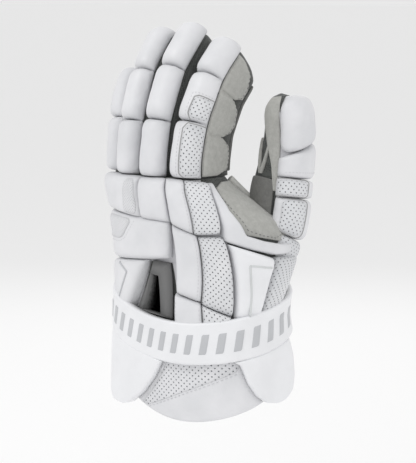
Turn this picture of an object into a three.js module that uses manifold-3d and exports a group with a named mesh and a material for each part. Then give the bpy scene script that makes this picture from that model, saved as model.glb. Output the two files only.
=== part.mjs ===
// A padded lacrosse glove for the left hand, in millimetres, held fingers up.
// +Z runs from the wrist to the fingertips, the back of the hand faces -Y and the thumb is at +X.
// The origin is the middle of the wrist opening. Every pad lies on a hollow hand that is built first:
// a palm shell, four finger sleeves and a thumb sleeve.
import * as THREE from "three";
import { mergeVertices } from "three/addons/utils/BufferGeometryUtils.js";
import Module from "manifold-3d";

const wasm = await Module();
wasm.setup();

// Driving sizes of the hand
const palmLength = 105; // wrist opening to knuckles
const cuffLength = 75; // wrist opening to the lowest edge of the cuff
const wristHalfWidth = 61;
const wristHalfDepth = 44;
const thenarBulge = 23; // how far the base of the thumb swells past the plain section
const shellWall = 2.6;
const sleeveWall = 2;
const gap = 0.3; // between pieces that are sewn or glued face to face
const seam = 1.2; // between the edges of neighbouring pads

// Driving sizes of the pads
const handPadThick = 10;
const cuffThick = 5.3;
const bandThick = 5;
const bandHeight = 31;
const tabThick = 5;
const suedeThick = 1.8;
const bindingRadius = 2.6;
const facetTolerance = 0.03; // faces closer than this to one plane are joined
const webPadThick = 9;
const shieldThick = 11;
const ventThick = 3;

const rad = THREE.MathUtils.degToRad;

// Sections of the hand from the cuff's edge up to the knuckles.
// rise is a share of cuffLength below the wrist and of palmLength above it. The middle and the
// half sizes are shares of wristHalfWidth and wristHalfDepth, thenar is a share of thenarBulge,
// and turn is in degrees.
const handSections = [
  { rise: -1.0, midX: 0.06, midY: 0.0, width: 1.08, depth: 1.13, thenar: 0.0, turn: 0 },
  { rise: -0.4, midX: 0.03, midY: 0.0, width: 1.04, depth: 1.06, thenar: 0.0, turn: 0 },
  { rise: 0.0, midX: 0.0, midY: 0.0, width: 1.0, depth: 1.0, thenar: 0.0, turn: 0 },
  { rise: 0.28, midX: -0.03, midY: -0.04, width: 0.98, depth: 0.94, thenar: 0.35, turn: -1 },
  { rise: 0.5, midX: -0.09, midY: -0.1, width: 0.95, depth: 0.87, thenar: 0.85, turn: -3 },
  { rise: 0.68, midX: -0.18, midY: -0.17, width: 0.92, depth: 0.78, thenar: 1.0, turn: -5 },
  { rise: 0.8, midX: -0.26, midY: -0.2, width: 0.89, depth: 0.74, thenar: 0.6, turn: -7 },
  { rise: 0.92, midX: -0.36, midY: -0.2, width: 0.85, depth: 0.7, thenar: 0.2, turn: -9 },
  { rise: 1.0, midX: -0.4, midY: -0.19, width: 0.84, depth: 0.66, thenar: 0.0, turn: -10 },
];
const handRoundness = 2.3; // exponent of the section: 2 is an ellipse
const thenarAngle = 112;
const thenarSpread = 42;

// Four fingers. The base is where the finger's middle leaves the knuckles, facing turns its back
// from -Y towards +X, and splay leans it sideways. Angles are in degrees.
const fingerPitch = 25; // knuckle to knuckle
const fingerHalfWidth = 12;
const fingerHalfDepth = 12; // from the finger's middle line to its back
const fingerPalmDepth = 29; // and to its palm side
const fingerPadHalfWidth = 13;
const fingerPadHeight = 24; // from the finger's middle to the top of its pad
const middleFinger = { x: -16, y: -23 };
const fingers = [
  { name: "index", acrossShare: 1.12, backShare: 0.12, facing: -5, splay: 5, size: 1.0,
    bones: [38, 33, 34], bends: [10, 26, 44] },
  { name: "middle", acrossShare: 0, backShare: 0, facing: -2, splay: 2, size: 1.0,
    bones: [38, 37, 42], bends: [8, 22, 42] },
  { name: "ring", acrossShare: -0.98, backShare: 0.19, facing: -20, splay: 0, size: 0.97,
    bones: [37, 36, 40], bends: [8, 21, 40] },
  { name: "pinky", acrossShare: -1.85, backShare: 0.69, facing: -38, splay: -2, size: 0.88,
    bones: [30, 22, 26], bends: [6, 14, 28] },
];

// The thumb: its middle passes through these points, and its back faces thumbFacing.
const thumbPath = [
  // shares of the wrist's half width, its half depth and the palm's length
  { across: 0.721, deep: 0.182, rise: 0.324 },
  { across: 0.885, deep: 0.5, rise: 0.629 },
  { across: 0.902, deep: 0.636, rise: 0.933 },
  { across: 0.902, deep: 0.727, rise: 1.257 },
  { across: 0.852, deep: 0.727, rise: 1.59 },
];
const thumbFacing = 98; // degrees from -Y towards +X
const thumbHalfWidth = 14;
const thumbBackDepth = 13;
const thumbPalmDepth = 13;
const thumbFlare = 12; // how far the palm side of the thumb swells towards its base
const thumbPadThick = 11;

// Small mathematics shared by all surfaces

function superRadius(angle, halfWidth, halfDepth, power) {
  const across = Math.abs(Math.sin(angle)) / halfWidth;
  const along = Math.abs(Math.cos(angle)) / halfDepth;
  return 1 / Math.pow(Math.pow(across, power) + Math.pow(along, power), 1 / power);
}

function smooth(t) {
  const x = Math.min(1, Math.max(0, t));
  return x * x * (3 - 2 * x);
}

// Reads a column of a table at a place between its rows, with a curve that has no corners.
function between(rows, key, column, at) {
  let i = 0;
  while (i < rows.length - 2 && at > rows[i + 1][key]) i++;
  const before = rows[Math.max(0, i - 1)];
  const a = rows[i];
  const b = rows[i + 1];
  const after = rows[Math.min(rows.length - 1, i + 2)];
  const span = b[key] - a[key];
  const t = Math.min(1, Math.max(0, (at - a[key]) / span));
  const slopeA = ((b[column] - before[column]) / (b[key] - before[key])) * span;
  const slopeB = ((after[column] - a[column]) / (after[key] - a[key])) * span;
  const t2 = t * t;
  const t3 = t2 * t;
  return (
    (2 * t3 - 3 * t2 + 1) * a[column] +
    (t3 - 2 * t2 + t) * slopeA +
    (3 * t2 - 2 * t3) * b[column] +
    (t3 - t2) * slopeB
  );
}

// Surfaces: each gives the point at (angle, along), lifted off the surface by a thickness

function handPoint(angleDegrees, z, lift) {
  const rise = z < 0 ? z / cuffLength : z / palmLength;
  const read = (column) => between(handSections, "rise", column, rise);
  const fromThumb = (angleDegrees - thenarAngle) / thenarSpread;
  const bulge = thenarBulge * Math.max(0, read("thenar")) * Math.exp(-fromThumb * fromThumb);
  const angle = rad(angleDegrees);
  const reach =
    superRadius(angle, wristHalfWidth * read("width"), wristHalfDepth * read("depth"), handRoundness) +
    bulge +
    lift;
  const turned = angle + rad(read("turn"));
  return new THREE.Vector3(
    wristHalfWidth * read("midX") + reach * Math.sin(turned),
    wristHalfDepth * read("midY") - reach * Math.cos(turned),
    z,
  );
}

// A finger's middle line as points with frames, from its base to its tip.
function fingerLine(finger) {
  const steps = 60;
  const length = finger.bones[0] + finger.bones[1] + finger.bones[2];
  const joints = [finger.bones[0], finger.bones[0] + finger.bones[1]];
  const softness = 11;
  const facing = rad(finger.facing);
  const palmward = new THREE.Vector3(0, 1, 0);
  const sideways = new THREE.Vector3(1, 0, 0);
  const point = new THREE.Vector3(
    middleFinger.x + finger.acrossShare * fingerPitch,
    middleFinger.y + finger.backShare * fingerPitch,
    palmLength + gap,
  );
  const line = [];
  for (let i = 0; i <= steps; i++) {
    const s = (length * i) / steps;
    const bend =
      finger.bends[0] * smooth((2 * s) / joints[0]) +
      (finger.bends[1] - finger.bends[0]) * smooth((s - joints[0] + softness) / (2 * softness)) +
      (finger.bends[2] - finger.bends[1]) * smooth((s - joints[1] + softness) / (2 * softness));
    const splay = finger.splay * smooth(s / joints[0]);
    const tangent = new THREE.Vector3(0, 0, 1)
      .addScaledVector(palmward, Math.tan(rad(bend)))
      .addScaledVector(sideways, Math.tan(rad(splay)))
      .normalize();
    const back = new THREE.Vector3(Math.sin(facing), -Math.cos(facing), 0);
    back.addScaledVector(tangent, -back.dot(tangent)).normalize();
    const side = new THREE.Vector3().crossVectors(tangent, back);
    line.push({ s, point: point.clone(), tangent, back, side });
    point.addScaledVector(tangent, length / steps);
  }
  return { length, line };
}

function thumbLine() {
  const places = thumbPath.map(
    (p) => new THREE.Vector3(p.across * wristHalfWidth, p.deep * wristHalfDepth, p.rise * palmLength),
  );
  const curve = new THREE.CatmullRomCurve3(places);
  const steps = 60;
  const length = curve.getLength();
  const line = [];
  for (let i = 0; i <= steps; i++) {
    const tangent = curve.getTangentAt(i / steps).normalize();
    const back = new THREE.Vector3(Math.sin(rad(thumbFacing)), -Math.cos(rad(thumbFacing)), 0);
    back.addScaledVector(tangent, -back.dot(tangent)).normalize();
    const side = new THREE.Vector3().crossVectors(tangent, back);
    line.push({ s: (length * i) / steps, point: curve.getPointAt(i / steps), tangent, back, side });
  }
  return { length, line };
}

function frameAt(path, s) {
  const last = path.line.length - 1;
  const at = Math.min(last, Math.max(0, (s / path.length) * last));
  const i = Math.min(last - 1, Math.floor(at));
  const t = at - i;
  const a = path.line[i];
  const b = path.line[i + 1];
  const mix = (key) => a[key].clone().lerp(b[key], t);
  const beyond = s > path.length ? s - path.length : Math.min(0, s);
  const tangent = mix("tangent").normalize();
  return {
    point: mix("point").addScaledVector(tangent, beyond),
    back: mix("back").normalize(),
    side: mix("side").normalize(),
  };
}

function aroundLine(path, s, angleDegrees, radius) {
  const frame = frameAt(path, s);
  return frame.point
    .addScaledVector(frame.back, radius * Math.cos(rad(angleDegrees)))
    .addScaledVector(frame.side, radius * Math.sin(rad(angleDegrees)));
}

// The share of its full size that a sleeve keeps at s: it narrows a little, then closes round.
function tipShare(path, s, roundLength, taper) {
  const left = path.length - s;
  const plain = 1 - taper * Math.max(0, s / path.length);
  if (left >= roundLength) return plain;
  const t = 1 - Math.max(0, left) / roundLength;
  return plain * Math.sqrt(Math.max(0, 1 - t * t));
}

const fingerTaper = 0.1;
const fingerTipLength = 12;
const fingerRoundness = 2.8;
const fingerSides = 12;

function fingerRadius(finger, path, s, angleDegrees, lift) {
  const angle = rad(angleDegrees);
  const depth = Math.cos(angle) > 0 ? fingerHalfDepth : fingerPalmDepth;
  const full = superRadius(
    angle,
    fingerHalfWidth * finger.size + lift,
    depth * finger.size + lift,
    fingerRoundness,
  );
  return full * tipShare(path, s, fingerTipLength + lift, fingerTaper);
}

const thumbTipLength = 15;

function thumbRadius(path, s, angleDegrees, lift) {
  const angle = rad(angleDegrees);
  const fromTip = 1 - s / path.length;
  const flare = thumbFlare * smooth(fromTip * 1.5) * smooth((s / path.length) * 2);
  const depth = Math.cos(angle) > 0 ? thumbBackDepth : thumbPalmDepth + flare;
  const full = superRadius(angle, thumbHalfWidth + lift, depth + lift, 2.2);
  return full * tipShare(path, s, thumbTipLength + lift, 0.08);
}

// Solids

// Closes a list of rings, each with the same number of points, into one body. A looped list joins
// its last ring to its first, as round a hoop, and any other is capped at both ends.
function closedRings(rings, looped = false) {
  const sides = rings[0].length;
  const points = rings.flat();
  const faces = [];
  const at = (ring, side) => ring * sides + (side % sides);
  const joins = looped ? rings.length : rings.length - 1;
  for (let r = 0; r < joins; r++) {
    const next = (r + 1) % rings.length;
    for (let k = 0; k < sides; k++) {
      faces.push([at(r, k), at(next, k), at(next, k + 1)]);
      faces.push([at(r, k), at(next, k + 1), at(r, k + 1)]);
    }
  }
  if (!looped) {
    for (const ring of [0, rings.length - 1]) {
      const middle = points.length;
      const centre = new THREE.Vector3();
      rings[ring].forEach((p) => centre.addScaledVector(p, 1 / sides));
      points.push(centre);
      for (let k = 0; k < sides; k++) {
        const face = [middle, at(ring, k), at(ring, k + 1)];
        faces.push(ring === 0 ? face : face.reverse());
      }
    }
  }
  return outward(points, faces);
}

// A round bar of one radius along a curve.
function rolled(curve, radius, steps, sides) {
  const frames = curve.computeFrenetFrames(steps, false);
  const rings = Array.from({ length: steps + 1 }, (_, i) =>
    Array.from({ length: sides }, (_, k) => {
      const angle = (2 * Math.PI * k) / sides;
      return curve
        .getPointAt(i / steps)
        .addScaledVector(frames.normals[i], radius * Math.cos(angle))
        .addScaledVector(frames.binormals[i], radius * Math.sin(angle));
    }),
  );
  return closedRings(rings);
}

// A geometry from points and faces, with its faces turned to point outwards.
function outward(points, faces) {
  let volume = 0;
  for (const [a, b, c] of faces) {
    volume += points[a].dot(new THREE.Vector3().crossVectors(points[b], points[c]));
  }
  const turned = volume < 0 ? faces.map(([a, b, c]) => [a, c, b]) : faces;
  const geometry = new THREE.BufferGeometry().setFromPoints(points);
  geometry.setIndex(turned.flat());
  return geometry;
}

// A puffed pad on a surface. corners are (across, along) at the lower left, lower right, upper
// right and upper left. surface gives the point at a place and a share of the thickness, which is
// full in the middle and edgeShare at the rim. The pad reaches below the surface, and what carries
// it is cut out of it afterwards.
function pad(surface, corners, { across = 5, along = 4, edgeShare = 0.4, rounding = 0.12, fullness = 4 }) {
  const eased = (i, n) => {
    const even = (2 * i) / n - 1;
    return 0.45 * even + 0.55 * Math.sin((Math.PI / 2) * even);
  };
  const points = [];
  const faces = [];
  for (const outside of [true, false]) {
    for (let j = 0; j <= along; j++) {
      for (let i = 0; i <= across; i++) {
        const x = eased(i, across);
        const y = eased(j, along);
        const u = 0.5 + 0.5 * x * Math.sqrt(1 - rounding * y ** 4);
        const v = 0.5 + 0.5 * y * Math.sqrt(1 - rounding * x ** 4);
        const place = [0, 1].map(
          (k) =>
            (1 - v) * ((1 - u) * corners[0][k] + u * corners[1][k]) +
            v * ((1 - u) * corners[3][k] + u * corners[2][k]),
        );
        const dome = Math.sqrt((1 - Math.abs(x) ** fullness) * (1 - Math.abs(y) ** fullness));
        const share = outside ? edgeShare + (1 - edgeShare) * dome : -0.25;
        points.push(surface(place[0], place[1], share));
      }
    }
  }
  const row = across + 1;
  const back = row * (along + 1);
  for (let j = 0; j < along; j++) {
    for (let i = 0; i < across; i++) {
      const a = j * row + i;
      faces.push([a, a + 1, a + row + 1], [a, a + row + 1, a + row]);
      faces.push([back + a, back + a + row + 1, back + a + 1], [back + a, back + a + row, back + a + row + 1]);
    }
  }
  const rim = [];
  for (let i = 0; i < across; i++) rim.push(i);
  for (let j = 0; j < along; j++) rim.push(j * row + across);
  for (let i = across; i > 0; i--) rim.push(along * row + i);
  for (let j = along; j > 0; j--) rim.push(j * row);
  rim.forEach((a, k) => {
    const b = rim[(k + 1) % rim.length];
    faces.push([a, back + a, back + b], [a, back + b, b]);
  });
  return outward(points, faces);
}

function solidOf(geometry) {
  const bare = geometry.clone();
  for (const name of ["normal", "uv"]) bare.deleteAttribute(name);
  const merged = mergeVertices(bare, 1e-4);
  return new wasm.Manifold(
    new wasm.Mesh({
      numProp: 3,
      vertProperties: merged.attributes.position.array,
      triVerts: new Uint32Array(merged.index.array),
    }),
  );
}

function geometryOf(solid) {
  const mesh = solid.simplify(facetTolerance).getMesh();
  const geometry = new THREE.BufferGeometry();
  geometry.setAttribute("position", new THREE.BufferAttribute(mesh.vertProperties, 3));
  geometry.setIndex(new THREE.BufferAttribute(mesh.triVerts, 1));
  return geometry;
}

// Materials, from the photograph
const materials = {
  white: new THREE.MeshStandardMaterial({ color: 0xe9e9ea, roughness: 0.5, metalness: 0 }),
  perforated: new THREE.MeshStandardMaterial({ color: 0xdededf, roughness: 0.6, metalness: 0 }),
  suede: new THREE.MeshStandardMaterial({ color: 0xb4b4ae, roughness: 0.95, metalness: 0 }),
  darkMesh: new THREE.MeshStandardMaterial({ color: 0x4a4c4a, roughness: 0.9, metalness: 0 }),
  moulded: new THREE.MeshStandardMaterial({ color: 0xeeeef0, roughness: 0.35, metalness: 0 }),
  ventGrey: new THREE.MeshStandardMaterial({ color: 0x6b6b6b, roughness: 0.6, metalness: 0 }),
};

const glove = new THREE.Group();
glove.name = "lacrosse_glove";

function place(name, geometry, material) {
  const mesh = new THREE.Mesh(geometry, material);
  mesh.name = name;
  glove.add(mesh);
  return mesh;
}

const fingerPaths = fingers.map(fingerLine);
const thumb = thumbLine();

// The hand: a shell round the palm, open at the wrist, with a hole to each finger and the thumb

const shellSides = 26;
const shellBottom = -10;
const shellStops = [0, 0.2, 0.4, 0.55, 0.68, 0.78, 0.88, 1];

function handTube(bottom, top, lift) {
  const rings = shellStops.map((share) => {
    const z = bottom + (top - bottom) * share;
    return Array.from({ length: shellSides }, (_, k) => handPoint((360 * k) / shellSides, z, lift));
  });
  return solidOf(closedRings(rings));
}

function sleeveTube(path, stops, sides, radiusAt) {
  const rings = stops.map((s) =>
    Array.from({ length: sides }, (_, k) => {
      const angle = (360 * k) / sides;
      return aroundLine(path, s, angle, radiusAt(s, angle));
    }),
  );
  return solidOf(closedRings(rings));
}

// Places along a sleeve: even down its length, close together where its tip turns in.
function sleeveStops(from, length, tipLength, count) {
  const body = length - tipLength;
  const straight = Array.from({ length: count + 1 }, (_, i) => from + ((body - from) * i) / count);
  return [...straight, ...[0.5, 0.8, 0.97].map((share) => body + tipLength * share)];
}

// The same middle line, ending a wall short of the tip, for the hollow inside.
function shortened(path) {
  const length = path.length - sleeveWall;
  const line = path.line.map((row) => {
    const s = (row.s * length) / path.length;
    return { ...row, s, point: frameAt(path, s).point };
  });
  return { length, line };
}

function fingerCore(finger, path, from, lift) {
  const inner = lift < 0 ? shortened(path) : path;
  const stops = sleeveStops(from, inner.length, fingerTipLength + lift, 5);
  return sleeveTube(inner, stops, fingerSides, (s, angle) => fingerRadius(finger, inner, s, angle, lift));
}

const thumbSides = 16;

function thumbCore(from, lift) {
  const inner = lift < 0 ? shortened(thumb) : thumb;
  const stops = sleeveStops(from, inner.length, thumbTipLength + lift, 6);
  return sleeveTube(inner, stops, thumbSides, (s, angle) => thumbRadius(inner, s, angle, lift));
}

// Panels: flat pieces of one thickness that follow what is under them. The outline is a list of
// places on the surface, and a prism through it cuts the panel out of a layer.
function prism(surface, places, below, above) {
  const flatten = (list) => list.map(([x, y]) => new THREE.Vector2(x, y));
  const outline = THREE.ShapeUtils.isClockWise(flatten(places)) ? [...places].reverse() : places;
  const caps = THREE.ShapeUtils.triangulateShape(flatten(outline), []);
  const points = [below, above].flatMap((lift) => outline.map(([x, y]) => surface(x, y, lift)));
  const n = outline.length;
  const faces = caps.flatMap(([a, b, c]) => [[a, c, b], [n + a, n + b, n + c]]);
  for (let k = 0; k < n; k++) {
    const next = (k + 1) % n;
    faces.push([k, next, n + next], [k, n + next, n + k]);
  }
  return solidOf(outward(points, faces));
}

const onHand = (angle, z, lift) => handPoint(angle, z, lift);
function wideTube(lift) {
  return handTube(shellBottom, palmLength, lift);
}

// The vent in the back of the wrist. Places are degrees round the hand and shares of palmLength.
const ventOutline = [[-31, 0.05], [11, 0.0], [15, 0.4], [-6, 0.41]];
const ventOpening = [[-24, 0.07], [-2, 0.04], [-1, 0.3], [-12, 0.31]];
const ventPrism = prism(onHand, ventOpening.map(([angle, share]) => [angle, share * palmLength]), -14, 20);

const cavityTop = palmLength - shellWall;
const boreDepth = 8; // how far a finger's hole reaches down into the palm

function palmShell() {
  let solid = handTube(shellBottom, palmLength, 0).subtract(handTube(shellBottom - 2, cavityTop, -shellWall));
  fingers.forEach((finger, i) => {
    solid = solid.subtract(fingerCore(finger, fingerPaths[i], -boreDepth, -sleeveWall));
  });
  return solid.subtract(thumbCore(0, -sleeveWall)).subtract(ventPrism);
}

// The shell is sewn from two parts: the wrist up to the top of the vent, and the palm above it.
const wristSeam = 0.295 * palmLength;
const wholeShell = palmShell();
const palmPart = wholeShell.trimByPlane([0, 0, 1], wristSeam + gap);
const wristPart = wholeShell.trimByPlane([0, 0, -1], -wristSeam);
place("palm_shell", geometryOf(palmPart), materials.darkMesh);
place("wrist_shell", geometryOf(wristPart), materials.darkMesh);

// Where two fingers lean together, the one further from the middle finger is flattened.
const leansOn = { index: 1, ring: 1, pinky: 2 };
function fingerSleeve(finger, i) {
  const outside = fingerCore(finger, fingerPaths[i], 0, 0);
  const inside = fingerCore(finger, fingerPaths[i], -1, -sleeveWall);
  const other = leansOn[finger.name];
  if (other === undefined) return outside.subtract(inside);
  const keepOut = (lift) => fingerCore(fingers[other], fingerPaths[other], -2, lift);
  return outside.subtract(keepOut(gap)).subtract(inside.subtract(keepOut(gap + sleeveWall)));
}
fingers.forEach((finger, i) => {
  place(`${finger.name}_sleeve`, geometryOf(fingerSleeve(finger, i)), materials.darkMesh);
});

function thumbSleeve() {
  const hollow = thumbCore(0, 0).subtract(thumbCore(-1, -sleeveWall));
  return hollow.subtract(handTube(shellBottom, palmLength, gap));
}

place("thumb_sleeve", geometryOf(thumbSleeve()), materials.darkMesh);

// Finger pads: saddles over the back of each finger, thick on top and thin down its sides

function fingerPadSurface(finger, path) {
  return (angle, s, share) => {
    const inner = fingerRadius(finger, path, s, angle, gap);
    const fromEnd = path.length + padOverTip - s;
    const t = 1 - Math.min(1, fromEnd / padTipLength);
    const outer =
      superRadius(rad(angle), fingerPadHalfWidth * finger.size, fingerPadHeight * finger.size, 2.7) *
      Math.sqrt(1 - t * t);
    return aroundLine(path, s, angle, inner + share * Math.max(sidePadThick, outer - inner));
  };
}

const padOverTip = 9; // how far the shape of a tip pad would run on past the finger
const padTipLength = 22;
const sidePadThick = 2;
const padAngles = { left: -80, right: 50 };
const indexPadAngles = { left: -80, right: 55 };

// Where each finger's pads end, as shares of its length
const padStops = {
  index: [0, 0.36, 0.68, 1],
  middle: [0, 0.33, 0.65, 1],
  ring: [0, 0.33, 0.65, 1],
  pinky: [0, 0.5, 1],
};
const padNames = { 2: ["base_pad", "tip_pad"], 3: ["base_pad", "middle_pad", "tip_pad"] };

fingers.forEach((finger, i) => {
  const path = fingerPaths[i];
  const surface = fingerPadSurface(finger, path);
  const core = fingerCore(finger, path, -1, gap);
  const stops = padStops[finger.name];
  padNames[stops.length - 1].forEach((part, k) => {
    const low = stops[k] * path.length + seam / 2;
    const high = stops[k + 1] * path.length - seam / 2;
    const { left, right } = finger.name === "index" ? indexPadAngles : padAngles;
    const body = solidOf(pad(surface, [[left, low], [right, low], [right, high], [left, high]], {}));
    place(`${finger.name}_${part}`, geometryOf(body.subtract(core)), materials.white);
  });
});

// Index finger: suede down the thumb side, in three lobes. Angles in degrees round the finger,
// and places as shares of its length.
const indexLobes = [
  [60, 0.01], [120, 0.01], [148, 0.05], [153, 0.16], [148, 0.25], [128, 0.31],
  [146, 0.37], [152, 0.46], [147, 0.56], [130, 0.62],
  [148, 0.68], [150, 0.78], [138, 0.88], [100, 0.93], [60, 0.94],
];

function indexSuede() {
  const [finger, path] = [fingers[0], fingerPaths[0]];
  const surface = (angle, s, lift) => aroundLine(path, s, angle, fingerRadius(finger, path, s, angle, lift));
  const layer = fingerCore(finger, path, -1, gap + suedeThick).subtract(fingerCore(finger, path, -2, gap));
  const outline = indexLobes.map(([angle, share]) => [angle, share * path.length]);
  return layer.intersect(prism(surface, outline, -5, 12));
}

place("index_suede_panel", geometryOf(indexSuede()), materials.suede);

// Thumb pads, from the tip down. Angles in degrees round the thumb, places as shares of its length.
const thumbPads = [
  { name: "thumb_tip_pad", left: -75, right: 112, from: 0.67, to: 0.985, material: "white" },
  { name: "thumb_bend_pad", left: -75, right: 112, from: 0.54, to: 0.67, material: "white" },
  { name: "thumb_upper_perforated", left: -75, right: 105, from: 0.43, to: 0.54, material: "perforated" },
  { name: "thumb_middle_perforated", left: -75, right: 100, from: 0.24, to: 0.43, material: "perforated" },
  { name: "thumb_lower_perforated", left: -60, right: 90, from: 0.04, to: 0.24, material: "perforated" },
];

function thumbPadSurface(angle, s, share) {
  const inner = thumbRadius(thumb, s, angle, gap);
  const t = 1 - Math.min(1, (thumb.length + 8 - s) / 26);
  const width = thumbHalfWidth + thumbPadThick * 0.6;
  const outer = superRadius(rad(angle), width, thumbBackDepth + thumbPadThick, 2.4);
  return aroundLine(thumb, s, angle, inner + share * Math.max(1, outer * Math.sqrt(1 - t * t) - inner));
}

const thumbKeepOut = thumbCore(-1, gap).add(handTube(shellBottom, palmLength, gap));
function thumbPadBody(row, grow) {
  const low = row.from * thumb.length + seam / 2 - grow;
  const high = row.to * thumb.length - seam / 2 + grow;
  const [left, right] = [row.left - 2 * grow, row.right + 2 * grow];
  const surface = (angle, s, share) => thumbPadSurface(angle, s, share + grow / 10);
  return solidOf(pad(surface, [[left, low], [right, low], [right, high], [left, high]], {}));
}
for (const row of thumbPads) {
  place(row.name, geometryOf(thumbPadBody(row, 0).subtract(thumbKeepOut)), materials[row.material]);
}

const onThumb = (angle, s, lift) => aroundLine(thumb, s, angle, thumbRadius(thumb, s, angle, lift));
const thumbLayer = thumbCore(-1, gap + suedeThick).subtract(thumbCore(-2, gap)).subtract(wideTube(2 * gap + suedeThick));

// Suede on the thumb: a strip beside the pads that narrows to a point, and a panel on the inner face
const thumbPanels = [
  {
    name: "thumb_suede_strip",
    outline: [[-79, 0.52], [-79, 0.9], [-86, 0.96], [-112, 0.94], [-122, 0.86], [-112, 0.72], [-96, 0.58]],
  },
  {
    name: "thumb_suede_inner",
    outline: [[-84, 0.2], [-84, 0.5], [-100, 0.54], [-160, 0.54], [-170, 0.36], [-160, 0.2]],
  },
];
for (const { name, outline } of thumbPanels) {
  const scaled = outline.map(([angle, share]) => [angle, share * thumb.length]);
  place(name, geometryOf(thumbLayer.intersect(prism(onThumb, scaled, -5, 12))), materials.suede);
}

// The band round the wrist, tilted so that it hangs lowest at the back of the hand
const bandAngle = 24; // where it hangs lowest
const bandMiddle = 3;
const bandTilt = 19;
const bandLift = 6.3;
const bandHeightAt = (angle) => bandMiddle - bandTilt * Math.cos(rad(angle - bandAngle));

// A hoop round the wrist: profile rows are (lift, height above the hoop's middle).
function hoop(profile) {
  const rings = Array.from({ length: shellSides }, (_, k) => {
    const angle = (360 * k) / shellSides;
    return profile(angle).map(([lift, z]) => handPoint(angle, z, lift));
  });
  return solidOf(closedRings(rings, true));
}

function bandProfile(grow) {
  return (angle) => {
    const middle = bandHeightAt(angle);
    const half = bandHeight / 2 + grow;
    const inside = bandLift - grow;
    const outside = bandLift + bandThick + grow;
    const round = bandThick * 0.4;
    return [
      [inside, middle - half], [inside, middle + half], [outside - round, middle + half],
      [outside, middle + half - round], [outside, middle - half + round], [outside - round, middle - half],
    ];
  };
}

const bandRoom = hoop(bandProfile(gap));
place("wrist_band", geometryOf(hoop(bandProfile(0))), materials.moulded);

// The floating cuff under the band: a bell with a long rounded tongue over the back of the wrist
const tongueShort = 20;
const bellLift = 1.4; // the cuff floats on the wrist
function bellEdge(angle) {
  const lean = Math.cos(rad(angle - bandAngle) * 0.9);
  const across = Math.abs((((angle - bandAngle + 540) % 360) - 180));
  return -tongueShort - (cuffLength - tongueShort) * (across < 100 && lean > 0 ? Math.pow(lean, 0.75) : 0);
}
function bellProfile(angle) {
  const top = bandHeightAt(angle) + bandHeight * 0.2;
  const low = bellEdge(angle > 204 ? angle - 360 : angle);
  const round = cuffThick * 0.35;
  return [
    [bellLift, low], [bellLift, (low + top) / 2], [bellLift, top], [cuffThick, top],
    [cuffThick, (low + top) / 2], [cuffThick, low + round], [cuffThick - round, low],
  ];
}
const bell = hoop(bellProfile);
place("cuff_bell", geometryOf(bell), materials.white);

// Two tabs that hang from the band. Angles in degrees, heights as shares of cuffLength.
const tabs = [
  { name: "outer_tab", outline: [[-72, 0.05], [6, -0.2], [4, -0.42], [-3, -0.58], [-14, -0.75], [-26, -0.87],
    [-36, -0.91], [-48, -0.9], [-60, -0.84], [-68, -0.7], [-72, -0.4]] },
  { name: "thumb_tab", outline: [[104, 0.05], [58, -0.2], [62, -0.42], [66, -0.6], [71, -0.73], [77, -0.8],
    [85, -0.82], [94, -0.79], [102, -0.72], [107, -0.58], [108, -0.4]] },
];
function cuffTube(lift) {
  const heights = [-1.35, -1, -0.75, -0.5, -0.25, 0, 0.25, 0.5];
  const rings = heights.map((share) =>
    Array.from({ length: shellSides }, (_, k) => handPoint((360 * k) / shellSides, share * cuffLength, lift)),
  );
  return solidOf(closedRings(rings));
}
const tabLayer = cuffTube(bandLift + tabThick).subtract(cuffTube(bandLift)).subtract(bandRoom);
for (const { name, outline } of tabs) {
  const scaled = outline.map(([angle, share]) => [angle, share * cuffLength]);
  const pieces = tabLayer.intersect(prism(onHand, scaled, -6, 24)).decompose();
  const lowest = pieces.reduce((a, b) => (a.boundingBox().min[2] < b.boundingBox().min[2] ? a : b));
  place(name, geometryOf(lowest), materials.moulded);
}

// Pads on the back of the hand. Angles are in degrees round the hand and heights are shares of
// palmLength, at the lower left, lower right, upper right and upper left corners.
const handPads = [
  { name: "knuckle_pad_outer", angles: [-58, -6, 10, -64], heights: [0.75, 0.71, 0.995, 0.995], material: "white" },
  { name: "knuckle_pad_middle", angles: [-5, 31, 45, 11], heights: [0.71, 0.695, 0.995, 0.995], material: "white" },
  { name: "knuckle_pad_index", angles: [32, 48, 61, 46], heights: [0.69, 0.62, 0.99, 0.995], material: "white" },
  { name: "knuckle_perforated", angles: [49, 65, 79, 62], heights: [0.62, 0.63, 0.97, 0.99], material: "perforated" },
  { name: "back_pad_outer", angles: [-66, 18, 31, -62], heights: [0.38, 0.44, 0.695, 0.735], material: "white" },
  { name: "back_pad_middle", angles: [19, 39, 50, 32], heights: [0.2, 0.14, 0.61, 0.68], material: "white" },
  { name: "back_perforated", angles: [40, 60, 66, 51], heights: [0.13, 0.04, 0.605, 0.6], material: "perforated" },
  { name: "wrist_pad_outer", angles: [-60, -38, -11.5, -66], heights: [0.03, 0.03, 0.41, 0.37], material: "white" },
  { name: "wrist_pad_middle", angles: [16, 39, 39, 18], heights: [-0.04, -0.06, 0.13, 0.19], material: "white" },
  { name: "wrist_perforated", angles: [40, 58, 59, 40], heights: [-0.06, -0.03, 0.03, 0.12], material: "perforated" },
  { name: "side_perforated", angles: [80, 96, 117, 94], heights: [0.04, 0.09, 0.44, 0.45], material: "perforated" },
];
const thumbBody = wasm.Manifold.union([thumbCore(-1, gap), ...thumbPads.map((row) => thumbPadBody(row, 1))]);
for (const row of handPads) {
  const corners = row.angles.map((angle, k) => [angle, row.heights[k] * palmLength]);
  const surface = (angle, z, share) => handPoint(angle, z, gap + share * handPadThick);
  const body = solidOf(pad(surface, corners, {})).subtract(wideTube(gap)).subtract(bandRoom);
  place(row.name, geometryOf(body.subtract(hoop(bellRoom)).subtract(thumbBody)), materials[row.material]);
}

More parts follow.
